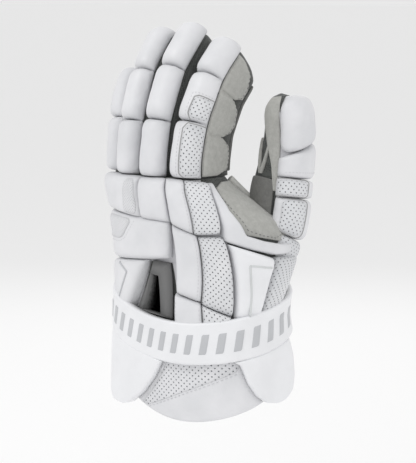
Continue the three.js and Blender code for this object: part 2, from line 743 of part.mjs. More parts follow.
// Suede on the palm, in two halves, and on the palm side of each finger
const palmPanels = [
  { name: "palm_suede_thumb", angles: [132, 200, 203, 136], heights: [0.4, 0.42, 0.96, 0.96] },
  { name: "palm_suede_outer", angles: [202, 272, 282, 205], heights: [0.42, 0.4, 0.96, 0.96] },
];
const flat = { edgeShare: 0.8, rounding: 0.05, across: 5, along: 3 };
for (const row of palmPanels) {
  const corners = row.angles.map((angle, k) => [angle, row.heights[k] * palmLength]);
  const surface = (angle, z, share) => handPoint(angle, z, gap + share * suedeThick);
  const body = solidOf(pad(surface, corners, flat)).subtract(wideTube(gap)).subtract(thumbBody);
  place(row.name, geometryOf(body.subtract(bandRoom)), materials.suede);
}
const palmAngles = [163, 197];
fingers.forEach((finger, i) => {
  const path = fingerPaths[i];
  const surface = (angle, s, share) => {
    return aroundLine(path, s, angle, fingerRadius(finger, path, s, angle, gap + share * suedeThick));
  };
  const [low, high] = [0.03, 0.9].map((share) => share * path.length);
  const corners = [[palmAngles[0], low], [palmAngles[1], low], [palmAngles[1], high], [palmAngles[0], high]];
  const body = solidOf(pad(surface, corners, { ...flat, across: 2, along: 5 }));
  place(`${finger.name}_palm_suede`, geometryOf(body.subtract(fingerCore(finger, path, -1, gap))), materials.suede);
});

// The web between index finger and thumb: suede with a padded frame on two sides and a rolled edge.
// Places are degrees round the hand and shares of palmLength.
const webSuede = [
  [80, 0.62], [98, 0.56], [108, 0.6], [114, 0.66], [118, 0.72], [118, 0.8], [114, 0.9], [110, 0.97],
  [95, 0.97], [86, 0.93], [81, 0.8],
];
const webPadOutline = [
  [66, 0.58], [78, 0.52], [92, 0.47], [108, 0.46], [112, 0.54], [98, 0.545], [79, 0.605], [80, 0.8],
  [85, 0.94], [84, 0.97], [80, 0.97], [70, 0.72],
];
function handPanel(outline, low, high) {
  const scaled = outline.map(([angle, share]) => [angle, share * palmLength]);
  const layer = wideTube(high).subtract(wideTube(low)).subtract(thumbBody);
  const pieces = layer.intersect(prism(onHand, scaled, -6, high + 14)).decompose();
  return pieces.reduce((a, b) => (a.volume() > b.volume() ? a : b));
}
// A rolled edge along the top of the web
const webEdge = [[111, 0.985], [117, 0.9], [121.5, 0.8], [122, 0.71], [118, 0.63]];
function webBinding() {
  const places = webEdge.map(([angle, share]) => onHand(angle, share * palmLength, gap + bindingRadius));
  const curve = new THREE.CatmullRomCurve3(places);
  const solid = solidOf(rolled(curve, bindingRadius, 9, 8)).subtract(wideTube(gap)).subtract(thumbBody);
  const clear = solid.subtract(thumbCore(-1, 2 * gap + suedeThick));
  const pieces = clear.subtract(wideTube(2 * gap + suedeThick).intersect(webPrism)).decompose();
  return pieces.reduce((a, b) => (a.volume() > b.volume() ? a : b));
}
const webPrism = prism(onHand, webSuede.map(([angle, share]) => [angle, share * palmLength]), -6, 14);
place("web_binding", geometryOf(webBinding()), materials.suede);
place("web_suede_panel", geometryOf(handPanel(webSuede, gap, gap + suedeThick)), materials.suede);
place("web_pad", geometryOf(handPanel(webPadOutline, gap, webPadThick)), materials.white);

// The hard shield over the base of the thumb
const shieldOutline = [[67.5, 0.56], [92, 0.445], [78, 0.02], [61.8, 0.02], [67.2, 0.5]];
place("thumb_shield", geometryOf(handPanel(shieldOutline, gap, shieldThick).subtract(bandRoom)), materials.moulded);

// The vent's frame, round the opening through the shell
const ventFrame = handPanel(ventOutline, gap, gap + ventThick).subtract(ventPrism).subtract(bandRoom);
place("vent_frame", geometryOf(ventFrame), materials.ventGrey);

function bellRoom(angle) {
  const top = bandHeightAt(angle) + bandHeight * 0.2 + gap;
  return [[-2, top - 30], [-2, top], [cuffThick + gap, top], [cuffThick + gap, top - 30]];
}

export default glove;
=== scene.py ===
# %% [markdown]
# # A padded lacrosse glove
# Every surface is worked out in millimetres from the same sizes as the solids, and written in metres.

# %% Load the frame
import math

import bpy
import bmesh
from mathutils import Matrix, Vector, noise


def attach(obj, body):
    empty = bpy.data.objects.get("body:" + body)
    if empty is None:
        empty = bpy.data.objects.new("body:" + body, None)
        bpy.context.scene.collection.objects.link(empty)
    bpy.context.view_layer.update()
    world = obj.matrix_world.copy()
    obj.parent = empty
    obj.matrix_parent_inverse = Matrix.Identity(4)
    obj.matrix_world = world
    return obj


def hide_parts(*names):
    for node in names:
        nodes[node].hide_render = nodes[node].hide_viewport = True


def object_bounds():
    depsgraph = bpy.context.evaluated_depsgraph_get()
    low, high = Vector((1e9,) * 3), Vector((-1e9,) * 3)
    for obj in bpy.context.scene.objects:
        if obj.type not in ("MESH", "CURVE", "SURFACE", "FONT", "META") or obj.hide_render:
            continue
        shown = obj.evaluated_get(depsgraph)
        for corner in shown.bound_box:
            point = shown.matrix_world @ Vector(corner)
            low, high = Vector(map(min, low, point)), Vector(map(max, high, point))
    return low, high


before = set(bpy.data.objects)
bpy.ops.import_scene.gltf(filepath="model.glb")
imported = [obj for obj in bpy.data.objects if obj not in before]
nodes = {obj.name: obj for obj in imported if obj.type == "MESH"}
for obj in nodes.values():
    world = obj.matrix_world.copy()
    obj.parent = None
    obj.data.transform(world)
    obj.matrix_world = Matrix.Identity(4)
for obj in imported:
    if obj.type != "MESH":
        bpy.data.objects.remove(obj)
cad_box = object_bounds()
print(len(nodes), "solids in the frame, whose box in metres is", cad_box)

# %% [markdown]
# ## Sizes
# A lacrosse glove is cut to the hand: the palm's length and the wrist's width set the rest.
# The numbers could be typed in where each piece is made. Here they stand together, as the solids have them,
# so that the visible pieces and the solids keep to the same hand.

# %% Sizes of the hand, fingers and thumb, in millimetres
PALM_LENGTH = 105
CUFF_LENGTH = 75
WRIST_HALF_WIDTH = 61
WRIST_HALF_DEPTH = 44
THENAR_BULGE = 23
THENAR_ANGLE = 112
THENAR_SPREAD = 42
SHELL_WALL = 2.6
SLEEVE_WALL = 2
SEAM = 0.4
PIECE_GAP = 0.3
PATH_STEPS = 60
HAND_PAD_THICK = 10
SUEDE_THICK = 1.8
MM = 0.001

HAND_SECTIONS = [
    # rise, middle x, middle y, width, depth, thenar, turn
    (-1.0, 0.06, 0.0, 1.08, 1.13, 0.0, 0),
    (-0.4, 0.03, 0.0, 1.04, 1.06, 0.0, 0),
    (0.0, 0.0, 0.0, 1.0, 1.0, 0.0, 0),
    (0.28, -0.03, -0.04, 0.98, 0.94, 0.35, -1),
    (0.5, -0.09, -0.1, 0.95, 0.87, 0.85, -3),
    (0.68, -0.18, -0.17, 0.92, 0.78, 1.0, -5),
    (0.8, -0.26, -0.2, 0.89, 0.74, 0.6, -7),
    (0.92, -0.36, -0.2, 0.85, 0.7, 0.2, -9),
    (1.0, -0.4, -0.19, 0.84, 0.66, 0.0, -10),
]
HAND_ROUNDNESS = 2.3

FINGER_PITCH = 25
FINGER_HALF_WIDTH = 12
FINGER_HALF_DEPTH = 12
FINGER_PALM_DEPTH = 29
FINGER_PAD_HALF_WIDTH = 13
FINGER_PAD_HEIGHT = 24
FINGER_TIP = 12
FINGER_TAPER = 0.1
FINGER_ROUNDNESS = 2.8
MIDDLE_FINGER = (-16, -23)
FINGERS = {
    # across, back, facing, splay, size, bones, bends
    "index": (1.12, 0.12, -5, 5, 1.0, (38, 33, 34), (10, 26, 44)),
    "middle": (0, 0, -2, 2, 1.0, (38, 37, 42), (8, 22, 42)),
    "ring": (-0.98, 0.19, -20, 0, 0.97, (37, 36, 40), (8, 21, 40)),
    "pinky": (-1.85, 0.69, -38, -2, 0.88, (30, 22, 26), (6, 14, 28)),
}
THUMB_PATH = [
    # shares of the wrist's half width, its half depth and the palm's length
    (0.721, 0.182, 0.324),
    (0.885, 0.5, 0.629),
    (0.902, 0.636, 0.933),
    (0.902, 0.727, 1.257),
    (0.852, 0.727, 1.59),
]
THUMB_FACING = 98
THUMB_HALF_WIDTH = 14
THUMB_BACK_DEPTH = 13
THUMB_PALM_DEPTH = 13
THUMB_FLARE = 12
THUMB_PAD_THICK = 11
THUMB_TIP = 15
THUMB_TAPER = 0.08
THUMB_ROUNDNESS = 2.2
print("wrist", 2 * WRIST_HALF_WIDTH, "by", 2 * WRIST_HALF_DEPTH, "mm")
print("palm", PALM_LENGTH, "mm, cuff", CUFF_LENGTH, "mm")

# %% [markdown]
# ## Surfaces
# The hand part is a bent oval tube, and each finger is a round tube along a curved middle line.
# They could be sculpted, or made with subdivision. Here each is a function that gives the point at an angle,
# a height and a lift, because a pad laid on such a surface always touches what lies under it.

# %% Small mathematics


def super_radius(angle, half_width, half_depth, power):
    """Distance from the middle of an oval to its edge: power 2 is an ellipse, more is squarer."""
    across = abs(math.sin(angle)) / half_width
    along = abs(math.cos(angle)) / half_depth
    return (across**power + along**power) ** (-1 / power)


def smooth(t):
    x = min(1, max(0, t))
    return x * x * (3 - 2 * x)


def lerp(a, b, t):
    return a + (b - a) * t


def curve_at(rows, column, at):
    """Reads a column of rows at a place given in their first column, with no corners."""
    i = 0
    while i < len(rows) - 2 and at > rows[i + 1][0]:
        i += 1
    before, a, b = rows[max(0, i - 1)], rows[i], rows[i + 1]
    after = rows[min(len(rows) - 1, i + 2)]
    span = b[0] - a[0]
    t = min(1, max(0, (at - a[0]) / span))
    slope_a = (b[column] - before[column]) / (b[0] - before[0]) * span
    slope_b = (after[column] - a[column]) / (after[0] - a[0]) * span
    return (
        (2 * t**3 - 3 * t * t + 1) * a[column]
        + (t**3 - 2 * t * t + t) * slope_a
        + (3 * t * t - 2 * t**3) * b[column]
        + (t**3 - t * t) * slope_b
    )


print("a smooth step at a quarter gives", smooth(0.25))

# %% The hand's surface, by degrees round it and height


def hand_point(degrees, z, lift):
    """A point on the hand: degrees round it from the middle of its back, height, lift above the skin."""
    rise = z / CUFF_LENGTH if z < 0 else z / PALM_LENGTH
    mid_x, mid_y, width, depth, thenar, turn = (curve_at(HAND_SECTIONS, k, rise) for k in range(1, 7))
    from_thumb = ((degrees + 180 - THENAR_ANGLE) % 360 - 180) / THENAR_SPREAD
    bulge = THENAR_BULGE * max(0, thenar) * math.exp(-from_thumb * from_thumb)
    angle = math.radians(degrees)
    plain = super_radius(angle, WRIST_HALF_WIDTH * width, WRIST_HALF_DEPTH * depth, HAND_ROUNDNESS)
    reach = plain + bulge + lift
    turned = angle + math.radians(turn)
    x = WRIST_HALF_WIDTH * mid_x + reach * math.sin(turned)
    y = WRIST_HALF_DEPTH * mid_y - reach * math.cos(turned)
    return Vector((x, y, z))


print("the middle of the back of the hand:", hand_point(0, PALM_LENGTH / 2, 0))

# %% The middle lines of the fingers and the thumb


def turned_back(facing, tangent):
    back = Vector((math.sin(math.radians(facing)), -math.cos(math.radians(facing)), 0))
    back -= tangent * back.dot(tangent)
    return back.normalized()


def finger_line(name):
    """A finger's length, and rows of point, direction, back and side along its middle line."""
    across, back_share, facing, splay, size, bones, bends = FINGERS[name]
    length = sum(bones)
    joints = (bones[0], bones[0] + bones[1])
    softness = 11
    base = (MIDDLE_FINGER[0] + across * FINGER_PITCH, MIDDLE_FINGER[1] + back_share * FINGER_PITCH)
    point = Vector((*base, PALM_LENGTH + PIECE_GAP))
    rows = []
    for i in range(PATH_STEPS + 1):
        s = length * i / PATH_STEPS
        bend = bends[0] * smooth(2 * s / joints[0])
        for k in (0, 1):
            bend += (bends[k + 1] - bends[k]) * smooth((s - joints[k] + softness) / (2 * softness))
        lean = math.tan(math.radians(splay * smooth(s / joints[0])))
        tangent = Vector((lean, math.tan(math.radians(bend)), 1)).normalized()
        back = turned_back(facing, tangent)
        rows.append((point.copy(), tangent, back, tangent.cross(back)))
        point += tangent * (length / PATH_STEPS)
    return length, rows


def catmull(a, b, c, d, t):
    return 0.5 * (
        (2 * b) + (c - a) * t + (2 * a - 5 * b + 4 * c - d) * t**2 + (3 * b - a - 3 * c + d) * t**3
    )


def smooth_line(points, count):
    """Points evenly spaced along a smooth curve through the given ones."""
    spread = [2 * points[0] - points[1], *points, 2 * points[-1] - points[-2]]
    fine = []
    for k in range(1, len(spread) - 2):
        for step in range(24):
            fine.append(catmull(*spread[k - 1 : k + 3], step / 24))
    fine.append(points[-1].copy())
    marks = [0.0]
    for a, b in zip(fine, fine[1:]):
        marks.append(marks[-1] + (b - a).length)
    result = []
    k = 0
    for i in range(count):
        at = marks[-1] * i / (count - 1)
        while k < len(marks) - 2 and marks[k + 1] < at:
            k += 1
        span = marks[k + 1] - marks[k]
        result.append(fine[k].lerp(fine[k + 1], (at - marks[k]) / span if span else 0))
    return result


def thumb_line():
    sizes = Vector((WRIST_HALF_WIDTH, WRIST_HALF_DEPTH, PALM_LENGTH))
    points = smooth_line([Vector(p) * sizes for p in THUMB_PATH], PATH_STEPS + 1)
    length = sum((b - a).length for a, b in zip(points, points[1:]))
    rows = []
    for i, point in enumerate(points):
        tangent = (points[min(PATH_STEPS, i + 1)] - points[max(0, i - 1)]).normalized()
        back = turned_back(THUMB_FACING, tangent)
        rows.append((point, tangent, back, tangent.cross(back)))
    return length, rows


def around(path, s, degrees, radius):
    """The point at length s along a path, at a radius, turned by degrees from the path's back."""
    length, rows = path
    at = min(PATH_STEPS, max(0, s / length * PATH_STEPS))
    i = min(PATH_STEPS - 1, int(at))
    point, tangent, back, side = (a.lerp(b, at - i) for a, b in zip(rows[i], rows[i + 1]))
    beyond = s - length if s > length else min(0, s)
    angle = math.radians(degrees)
    turn = back.normalized() * math.cos(angle) + side.normalized() * math.sin(angle)
    return point + tangent.normalized() * beyond + turn * radius


def tip_share(length, s, round_length, taper):
    """Share of the full radius at s: it tapers a little and then rounds off to 0 at the tip."""
    left = length - s
    plain = 1 - taper * max(0, s / length)
    if left >= round_length:
        return plain
    t = 1 - max(0, left) / round_length
    return plain * math.sqrt(max(0, 1 - t * t))


def finger_radius(name, length, s, degrees, lift):
    size = FINGERS[name][4]
    angle = math.radians(degrees)
    depth = FINGER_HALF_DEPTH if math.cos(angle) > 0 else FINGER_PALM_DEPTH
    full = super_radius(angle, FINGER_HALF_WIDTH * size + lift, depth * size + lift, FINGER_ROUNDNESS)
    return full * tip_share(length, s, FINGER_TIP + lift, FINGER_TAPER)


def thumb_radius(length, s, degrees, lift):
    angle = math.radians(degrees)
    flare = THUMB_FLARE * smooth((1 - s / length) * 1.5) * smooth(s / length * 2)
    depth = THUMB_BACK_DEPTH if math.cos(angle) > 0 else THUMB_PALM_DEPTH + flare
    full = super_radius(angle, THUMB_HALF_WIDTH + lift, depth + lift, THUMB_ROUNDNESS)
    return full * tip_share(length, s, THUMB_TIP + lift, THUMB_TAPER)


FINGER_PATHS = {name: finger_line(name) for name in FINGERS}
THUMB = thumb_line()


def on_hand(u, v, lift):
    return hand_point(u, v * PALM_LENGTH, lift)


def on_cuff(u, v, lift):
    return hand_point(u, v * CUFF_LENGTH, lift)


def on_finger(name):
    path = FINGER_PATHS[name]
    return lambda u, v, lift: around(
        path, v * path[0], u, finger_radius(name, path[0], v * path[0], u, lift)
    )


def on_thumb(u, v, lift):
    length = THUMB[0]
    return around(THUMB, v * length, u, thumb_radius(length, v * length, u, lift))


def raised(surface, thick):
    """A surface whose share runs from 0, just clear of what lies below, to 1 on top."""
    return lambda u, v, share: surface(u, v, PIECE_GAP + share * thick)


# Puffed surfaces: share runs from 0 on the sleeve to 1 on top of the pad
def finger_pad_surface(name):
    path = FINGER_PATHS[name]
    size = FINGERS[name][4]

    def surface(u, v, share):
        s = v * path[0]
        inner = finger_radius(name, path[0], s, u, PIECE_GAP)
        t = 1 - min(1, (path[0] + 9 - s) / 22)
        outer = super_radius(math.radians(u), FINGER_PAD_HALF_WIDTH * size, FINGER_PAD_HEIGHT * size, 2.7)
        thick = max(2, outer * math.sqrt(1 - t * t) - inner)
        return around(path, s, u, inner + share * thick)

    return surface


def thumb_pad_surface(u, v, share):
    s = v * THUMB[0]
    inner = thumb_radius(THUMB[0], s, u, PIECE_GAP)
    t = 1 - min(1, (THUMB[0] + 8 - s) / 26)
    width = THUMB_HALF_WIDTH + THUMB_PAD_THICK * 0.6
    outer = super_radius(math.radians(u), width, THUMB_BACK_DEPTH + THUMB_PAD_THICK, 2.4)
    return around(THUMB, s, u, inner + share * max(1, outer * math.sqrt(1 - t * t) - inner))


finger_lengths = {name: round(path[0]) for name, path in FINGER_PATHS.items()}
print("lengths of the middle lines:", finger_lengths, "thumb", round(THUMB[0]))

# %% [markdown]
# ## Materials
# The glove has smooth and perforated white leather, grey suede, dark knitted mesh and moulded plastic.
# Photographs could be wrapped on. Here noise and a pattern of dots are mixed by nodes, because they stay
# sharp at any distance. The grain reads Object coordinates, the holes a UV map measured in millimetres.

# %% Node helpers


def new_material(name, colour, roughness):
    material = bpy.data.materials.new(name)
    material.use_nodes = True
    shader = material.node_tree.nodes["Principled BSDF"]
    shader.inputs["Base Color"].default_value = (*colour, 1)
    shader.inputs["Roughness"].default_value = roughness
    return material, material.node_tree, shader


def add_node(tree, kind, **values):
    node = tree.nodes.new(kind)
    for key, value in values.items():
        if key in node.inputs:
            node.inputs[key].default_value = value
        else:
            setattr(node, key, value)
    return node


def math_node(tree, operation, a, b=None, c=None):
    node = tree.nodes.new("ShaderNodeMath")
    node.operation = operation
    for socket, value in zip(node.inputs, (a, b, c)):
        if value is None:
            continue
        if isinstance(value, (int, float)):
            socket.default_value = value
        else:
            tree.links.new(value, socket)
    return node.outputs[0]


def noise_output(tree, vector, scale, detail=4.0, roughness=0.55):
    node = add_node(tree, "ShaderNodeTexNoise", Scale=scale, Detail=detail, Roughness=roughness)
    tree.links.new(vector, node.inputs["Vector"])
    return node.outputs["Fac"]


def object_vector(tree):
    return tree.nodes.new("ShaderNodeTexCoord").outputs["Object"]


def map_range(tree, value, low, high, to_low, to_high):
    node = add_node(tree, "ShaderNodeMapRange")
    for key, number in (("From Min", low), ("From Max", high), ("To Min", to_low), ("To Max", to_high)):
        node.inputs[key].default_value = number
    tree.links.new(value, node.inputs["Value"])
    return node.outputs["Result"]


def mix_colour(tree, factor, a, b):
    node = tree.nodes.new("ShaderNodeMix")
    node.data_type = "RGBA"
    tree.links.new(factor, node.inputs["Factor"])
    for socket, value in ((node.inputs["A"], a), (node.inputs["B"], b)):
        if isinstance(value, tuple):
            socket.default_value = (*value, 1)
        else:
            tree.links.new(value, socket)
    return node.outputs["Result"]


def paint(tree, shader, factor, a, b):
    tree.links.new(mix_colour(tree, factor, a, b), shader.inputs["Base Color"])


def bump(tree, shader, height, distance, strength=1.0, before=None):
    node = add_node(tree, "ShaderNodeBump", Strength=strength, Distance=distance)
    tree.links.new(height, node.inputs["Height"])
    if before is not None:
        tree.links.new(before, node.inputs["Normal"])
    tree.links.new(node.outputs["Normal"], shader.inputs["Normal"])
    return node.outputs["Normal"]


# %% Leather grain, shared by every white piece


def leather_group():
    group = bpy.data.node_groups.new("leather_grain", "ShaderNodeTree")
    face = group.interface
    face.new_socket("Vector", in_out="INPUT", socket_type="NodeSocketVector")
    face.new_socket("Height", in_out="OUTPUT", socket_type="NodeSocketFloat")
    face.new_socket("Cloudy", in_out="OUTPUT", socket_type="NodeSocketFloat")
    face.new_socket("Folds", in_out="OUTPUT", socket_type="NodeSocketFloat")
    inside = group.nodes.new("NodeGroupInput")
    outside = group.nodes.new("NodeGroupOutput")
    vector = inside.outputs["Vector"]
    cells = add_node(group, "ShaderNodeTexVoronoi", Scale=950.0)
    cells.feature = "SMOOTH_F1"
    group.links.new(vector, cells.inputs["Vector"])
    pores = noise_output(group, vector, 2400.0, 3.0)
    creases = noise_output(group, vector, 160.0, 5.0)
    height = math_node(group, "MULTIPLY_ADD", cells.outputs["Distance"], 0.5, pores)
    height = math_node(group, "MULTIPLY_ADD", creases, 1.6, height)
    group.links.new(height, outside.inputs["Height"])
    group.links.new(noise_output(group, vector, 34.0, 3.0), outside.inputs["Cloudy"])
    soft = add_node(group, "ShaderNodeTexNoise", Scale=55.0, Detail=4.0, Roughness=0.5, Distortion=0.9)
    group.links.new(vector, soft.inputs["Vector"])
    group.links.new(soft.outputs["Fac"], outside.inputs["Folds"])
    return group


LEATHER = leather_group()


def leather(name, colour, shade, roughness):
    material, tree, shader = new_material(name, colour, roughness)
    grain = tree.nodes.new("ShaderNodeGroup")
    grain.node_tree = LEATHER
    tree.links.new(object_vector(tree), grain.inputs["Vector"])
    cloudy = map_range(tree, grain.outputs["Cloudy"], 0.35, 0.7, 0, 1)
    paint(tree, shader, cloudy, shade, colour)
    dull = map_range(tree, grain.outputs["Cloudy"], 0.3, 0.7, roughness + 0.06, roughness - 0.06)
    tree.links.new(dull, shader.inputs["Roughness"])
    # near a seam the leather is pulled into small folds, and its colour is painted darker towards the rim:
    # painted seam shade and wear
    rim = add_node(tree, "ShaderNodeAttribute", attribute_name="rim").outputs["Fac"]
    plain = shader.inputs["Base Color"].links[0].from_socket
    wear_and_seam_shade_colour = tuple(0.8 * c for c in shade)
    wear_and_seam_shade_mask = math_node(tree, "MULTIPLY", rim, 0.7)
    paint(tree, shader, wear_and_seam_shade_mask, plain, wear_and_seam_shade_colour)
    pulled = math_node(tree, "MULTIPLY", noise_output(tree, object_vector(tree), 210.0, 4.0, 0.6), rim)
    folds = bump(tree, shader, grain.outputs["Folds"], 0.0014, 0.45)
    folds = bump(tree, shader, pulled, 0.0016, 0.6, folds)
    normal = bump(tree, shader, grain.outputs["Height"], 0.00014, 0.5, folds)
    return material, tree, shader, normal


print("leather nodes:", len(LEATHER.nodes))

# %% Holes punched in rows


def holes_group():
    """Staggered round holes on a UV map in millimetres: 1 in a hole, 0 between them."""
    group = bpy.data.node_groups.new("staggered_holes", "ShaderNodeTree")
    face = group.interface
    for key, value in (("Pitch", 2.1), ("Row", 4.6), ("Radius", 0.55)):
        socket = face.new_socket(key, in_out="INPUT", socket_type="NodeSocketFloat")
        socket.default_value = value
    face.new_socket("Vector", in_out="INPUT", socket_type="NodeSocketVector")
    face.new_socket("Hole", in_out="OUTPUT", socket_type="NodeSocketFloat")
    inside = group.nodes.new("NodeGroupInput")
    outside = group.nodes.new("NodeGroupOutput")
    split = group.nodes.new("ShaderNodeSeparateXYZ")
    group.links.new(inside.outputs["Vector"], split.inputs[0])
    pitch, row = inside.outputs["Pitch"], inside.outputs["Row"]
    double = math_node(group, "MULTIPLY", pitch, 2.0)
    found = None
    for shift in (0.0, 0.5):
        distances = []
        for axis, step in (("X", double), ("Y", row)):
            cell = math_node(group, "DIVIDE", split.outputs[axis], step)
            local = math_node(group, "FRACT", math_node(group, "ADD", cell, shift))
            offset = math_node(group, "MULTIPLY", math_node(group, "SUBTRACT", local, 0.5), step)
            distances.append(math_node(group, "POWER", offset, 2.0))
        distance = math_node(group, "SQRT", math_node(group, "ADD", *distances))
        found = distance if found is None else math_node(group, "MINIMUM", found, distance)
    soft = math_node(group, "SUBTRACT", inside.outputs["Radius"], found)
    hole = math_node(group, "DIVIDE", soft, 0.22)
    hole = math_node(group, "MAXIMUM", hole, 0.0)
    group.links.new(math_node(group, "MINIMUM", hole, 1.0), outside.inputs[0])
    return group


HOLES = holes_group()


def perforated(name, colour, shade, hole_colour, pitch=2.1, row=4.6, radius=0.55):
    material, tree, shader, normal = leather(name, colour, shade, 0.6)
    holes = tree.nodes.new("ShaderNodeGroup")
    holes.node_tree = HOLES
    for key, value in (("Pitch", pitch), ("Row", row), ("Radius", radius)):
        holes.inputs[key].default_value = value
    uv = tree.nodes.new("ShaderNodeUVMap")
    uv.uv_map = "millimetres"
    tree.links.new(uv.outputs[0], holes.inputs["Vector"])
    before = shader.inputs["Base Color"].links[0].from_socket
    paint(tree, shader, holes.outputs[0], before, hole_colour)
    depth = math_node(tree, "MULTIPLY", holes.outputs[0], -1.0)
    bump(tree, shader, depth, 0.0006, 1.0, normal)
    return material


print("hole nodes:", len(HOLES.nodes))

# %% Suede, knitted mesh and moulded plastic


def suede(name, light, dark):
    material, tree, shader = new_material(name, light, 0.95)
    vector = object_vector(tree)
    nap = noise_output(tree, vector, 260.0, 6.0, 0.7)
    fibre = noise_output(tree, vector, 1500.0, 4.0, 0.7)
    both = math_node(tree, "MULTIPLY_ADD", fibre, 0.7, nap)
    paint(tree, shader, map_range(tree, both, 0.55, 1.1, 0, 1), dark, light)
    shader.inputs["Sheen Weight"].default_value = 0.25
    shader.inputs["Sheen Roughness"].default_value = 0.5
    shader.inputs["Specular IOR Level"].default_value = 0.2
    bump(tree, shader, both, 0.0004, 0.7)
    return material


def knitted(name, light, dark):
    """Open knitted mesh: small holes in rows, over a darker ground."""
    material, tree, shader = new_material(name, light, 0.85)
    vector = object_vector(tree)
    cells = add_node(tree, "ShaderNodeTexVoronoi", Scale=620.0, Randomness=0.25)
    tree.links.new(vector, cells.inputs["Vector"])
    threads = map_range(tree, cells.outputs["Distance"], 0.15, 0.5, 0, 1)
    cloud = noise_output(tree, vector, 90.0, 4.0)
    shade = math_node(tree, "MULTIPLY", threads, map_range(tree, cloud, 0.3, 0.7, 0.75, 1.0))
    paint(tree, shader, shade, dark, light)
    shader.inputs["Sheen Weight"].default_value = 0.15
    bump(tree, shader, threads, 0.0004, 0.8)
    return material


def moulded(name, colour, roughness):
    material, tree, shader = new_material(name, colour, roughness)
    vector = object_vector(tree)
    cloud = noise_output(tree, vector, 45.0, 4.0)
    dull = map_range(tree, cloud, 0.3, 0.7, roughness - 0.05, roughness + 0.08)
    tree.links.new(dull, shader.inputs["Roughness"])
    shade = tuple(0.95 * c for c in colour)
    paint(tree, shader, map_range(tree, cloud, 0.35, 0.65, 0, 1), shade, colour)
    bump(tree, shader, noise_output(tree, vector, 1300.0, 2.0), 0.00006, 0.5)
    return material


# %% Every material, by the key that the pieces use
WHITE = (0.77, 0.77, 0.79)
WHITE_SHADE = (0.69, 0.695, 0.715)
MATERIALS = {
    "white": leather("white_leather", WHITE, WHITE_SHADE, 0.48)[0],
    "perforated": perforated("perforated_leather", (0.74, 0.745, 0.76), (0.66, 0.67, 0.69), (0.1, 0.1, 0.11)),
    # the backing leather is grey rather than white: painted shade in the seams between the pads
    "backing": leather("backing_leather", (0.62, 0.62, 0.64), (0.5, 0.5, 0.52), 0.7)[0],
    "fine": perforated("fine_perforated", WHITE, WHITE_SHADE, (0.5, 0.51, 0.53), 1.15, 2.3, 0.36),
    "fine_grey": perforated("tongue_perforated", WHITE, WHITE_SHADE, (0.24, 0.25, 0.27), 2.2, 4.2, 0.58),
    "suede": suede("suede", (0.47, 0.47, 0.445), (0.34, 0.34, 0.32)),
    "suede_pale": suede("suede_pale", (0.6, 0.6, 0.57), (0.44, 0.44, 0.42)),
    "suede_dark": suede("suede_dark", (0.2, 0.2, 0.19), (0.13, 0.13, 0.125)),
    "mesh": knitted("mesh_fabric", (0.085, 0.09, 0.085), (0.025, 0.027, 0.025)),
    "lining": knitted("lining", (0.03, 0.03, 0.03), (0.008, 0.008, 0.008)),
    "moulded": moulded("moulded_cuff", (0.84, 0.845, 0.865), 0.4),
    "vent": moulded("vent_grey", (0.16, 0.16, 0.16), 0.55),
    "silver": moulded("silver_print", (0.53, 0.54, 0.56), 0.35),
    "silver_pale": moulded("silver_pale", (0.64, 0.66, 0.66), 0.4),
    "piping": moulded("piping", (0.36, 0.36, 0.36), 0.6),
    "thread": moulded("thread_white", (0.62, 0.62, 0.64), 0.75),
    "thread_grey": moulded("thread_grey", (0.16, 0.16, 0.16), 0.75),
}

# %% [markdown]
# ## Builders
# Everything on this glove follows a curved surface that is known as a formula. A plain box that is
# pushed about by hand would never lie flat on it. So each piece starts as a simple shape, a grid or a
# ring, its vertices are moved to places on the surface, and extrusions give it a rim and a wall.

# %% A finished mesh becomes an object that rides on the glove
made_pieces = []


def finish_piece(name, work, material, replaces=(), uvs=None):
    """Makes an object of a bmesh, hangs it on the root body, and hides the solids that it replaces."""
    if uvs:
        layer = work.loops.layers.uv.new("millimetres")
        for face in work.faces:
            for loop in face.loops:
                loop[layer].uv = uvs.get(loop.vert, (0, 0))
    bmesh.ops.remove_doubles(work, verts=work.verts, dist=0.001 * MM)
    bmesh.ops.recalc_face_normals(work, faces=work.faces)
    mesh = bpy.data.meshes.new(name)
    work.to_mesh(mesh)
    work.free()
    mesh.validate()
    mesh.shade_smooth()
    piece = bpy.data.objects.new(name, mesh)
    bpy.context.collection.objects.link(piece)
    mesh.materials.append(MATERIALS[material])
    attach(piece, "root")
    if replaces:
        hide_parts(*replaces)
    made_pieces.append((name, len(mesh.polygons), [c / MM for c in piece.dimensions]))
    return piece


def tell(cell):
    """Prints the pieces made since the last call: their faces and their sizes in millimetres."""
    print(cell)
    for name, faces, sizes in made_pieces:
        print(f"  {name}: {faces} faces, {sizes[0]:.1f} by {sizes[1]:.1f} by {sizes[2]:.1f} mm")
    made_pieces.clear()


# %% Rings: a circle whose vertices are moved to their places, and the next ring extruded from it


def ring_edges(work, ring):
    return [work.edges.get(pair) for pair in zip(ring, ring[1:] + ring[:1])]


def first_ring(work, places):
    ring = bmesh.ops.create_circle(work, segments=len(places), radius=1)["verts"]
    for vertex, place in zip(ring, places):
        vertex.co = place * MM
    return ring


def next_ring(work, ring, places):
    made = bmesh.ops.extrude_edge_only(work, edges=ring_edges(work, ring))["geom"]
    fresh = {v for v in made if isinstance(v, bmesh.types.BMVert)}
    following = []
    for vertex, place in zip(ring, places):
        twin = next(e.other_vert(vertex) for e in vertex.link_edges if e.other_vert(vertex) in fresh)
        twin.co = place * MM
        following.append(twin)
    return following


def loft(work, rings):
    """A skin through rings of places. Gives its first and last ring of vertices."""
    ring = first = first_ring(work, rings[0])
    for places in rings[1:]:
        ring = next_ring(work, ring, places)
    return first, ring


def cap(work, ring):
    bmesh.ops.contextual_create(work, geom=ring_edges(work, ring))


def join_rings(work, a, b):
    bmesh.ops.bridge_loops(work, edges=ring_edges(work, a) + ring_edges(work, b))


# %% Places between two edges, and the swell of a pad


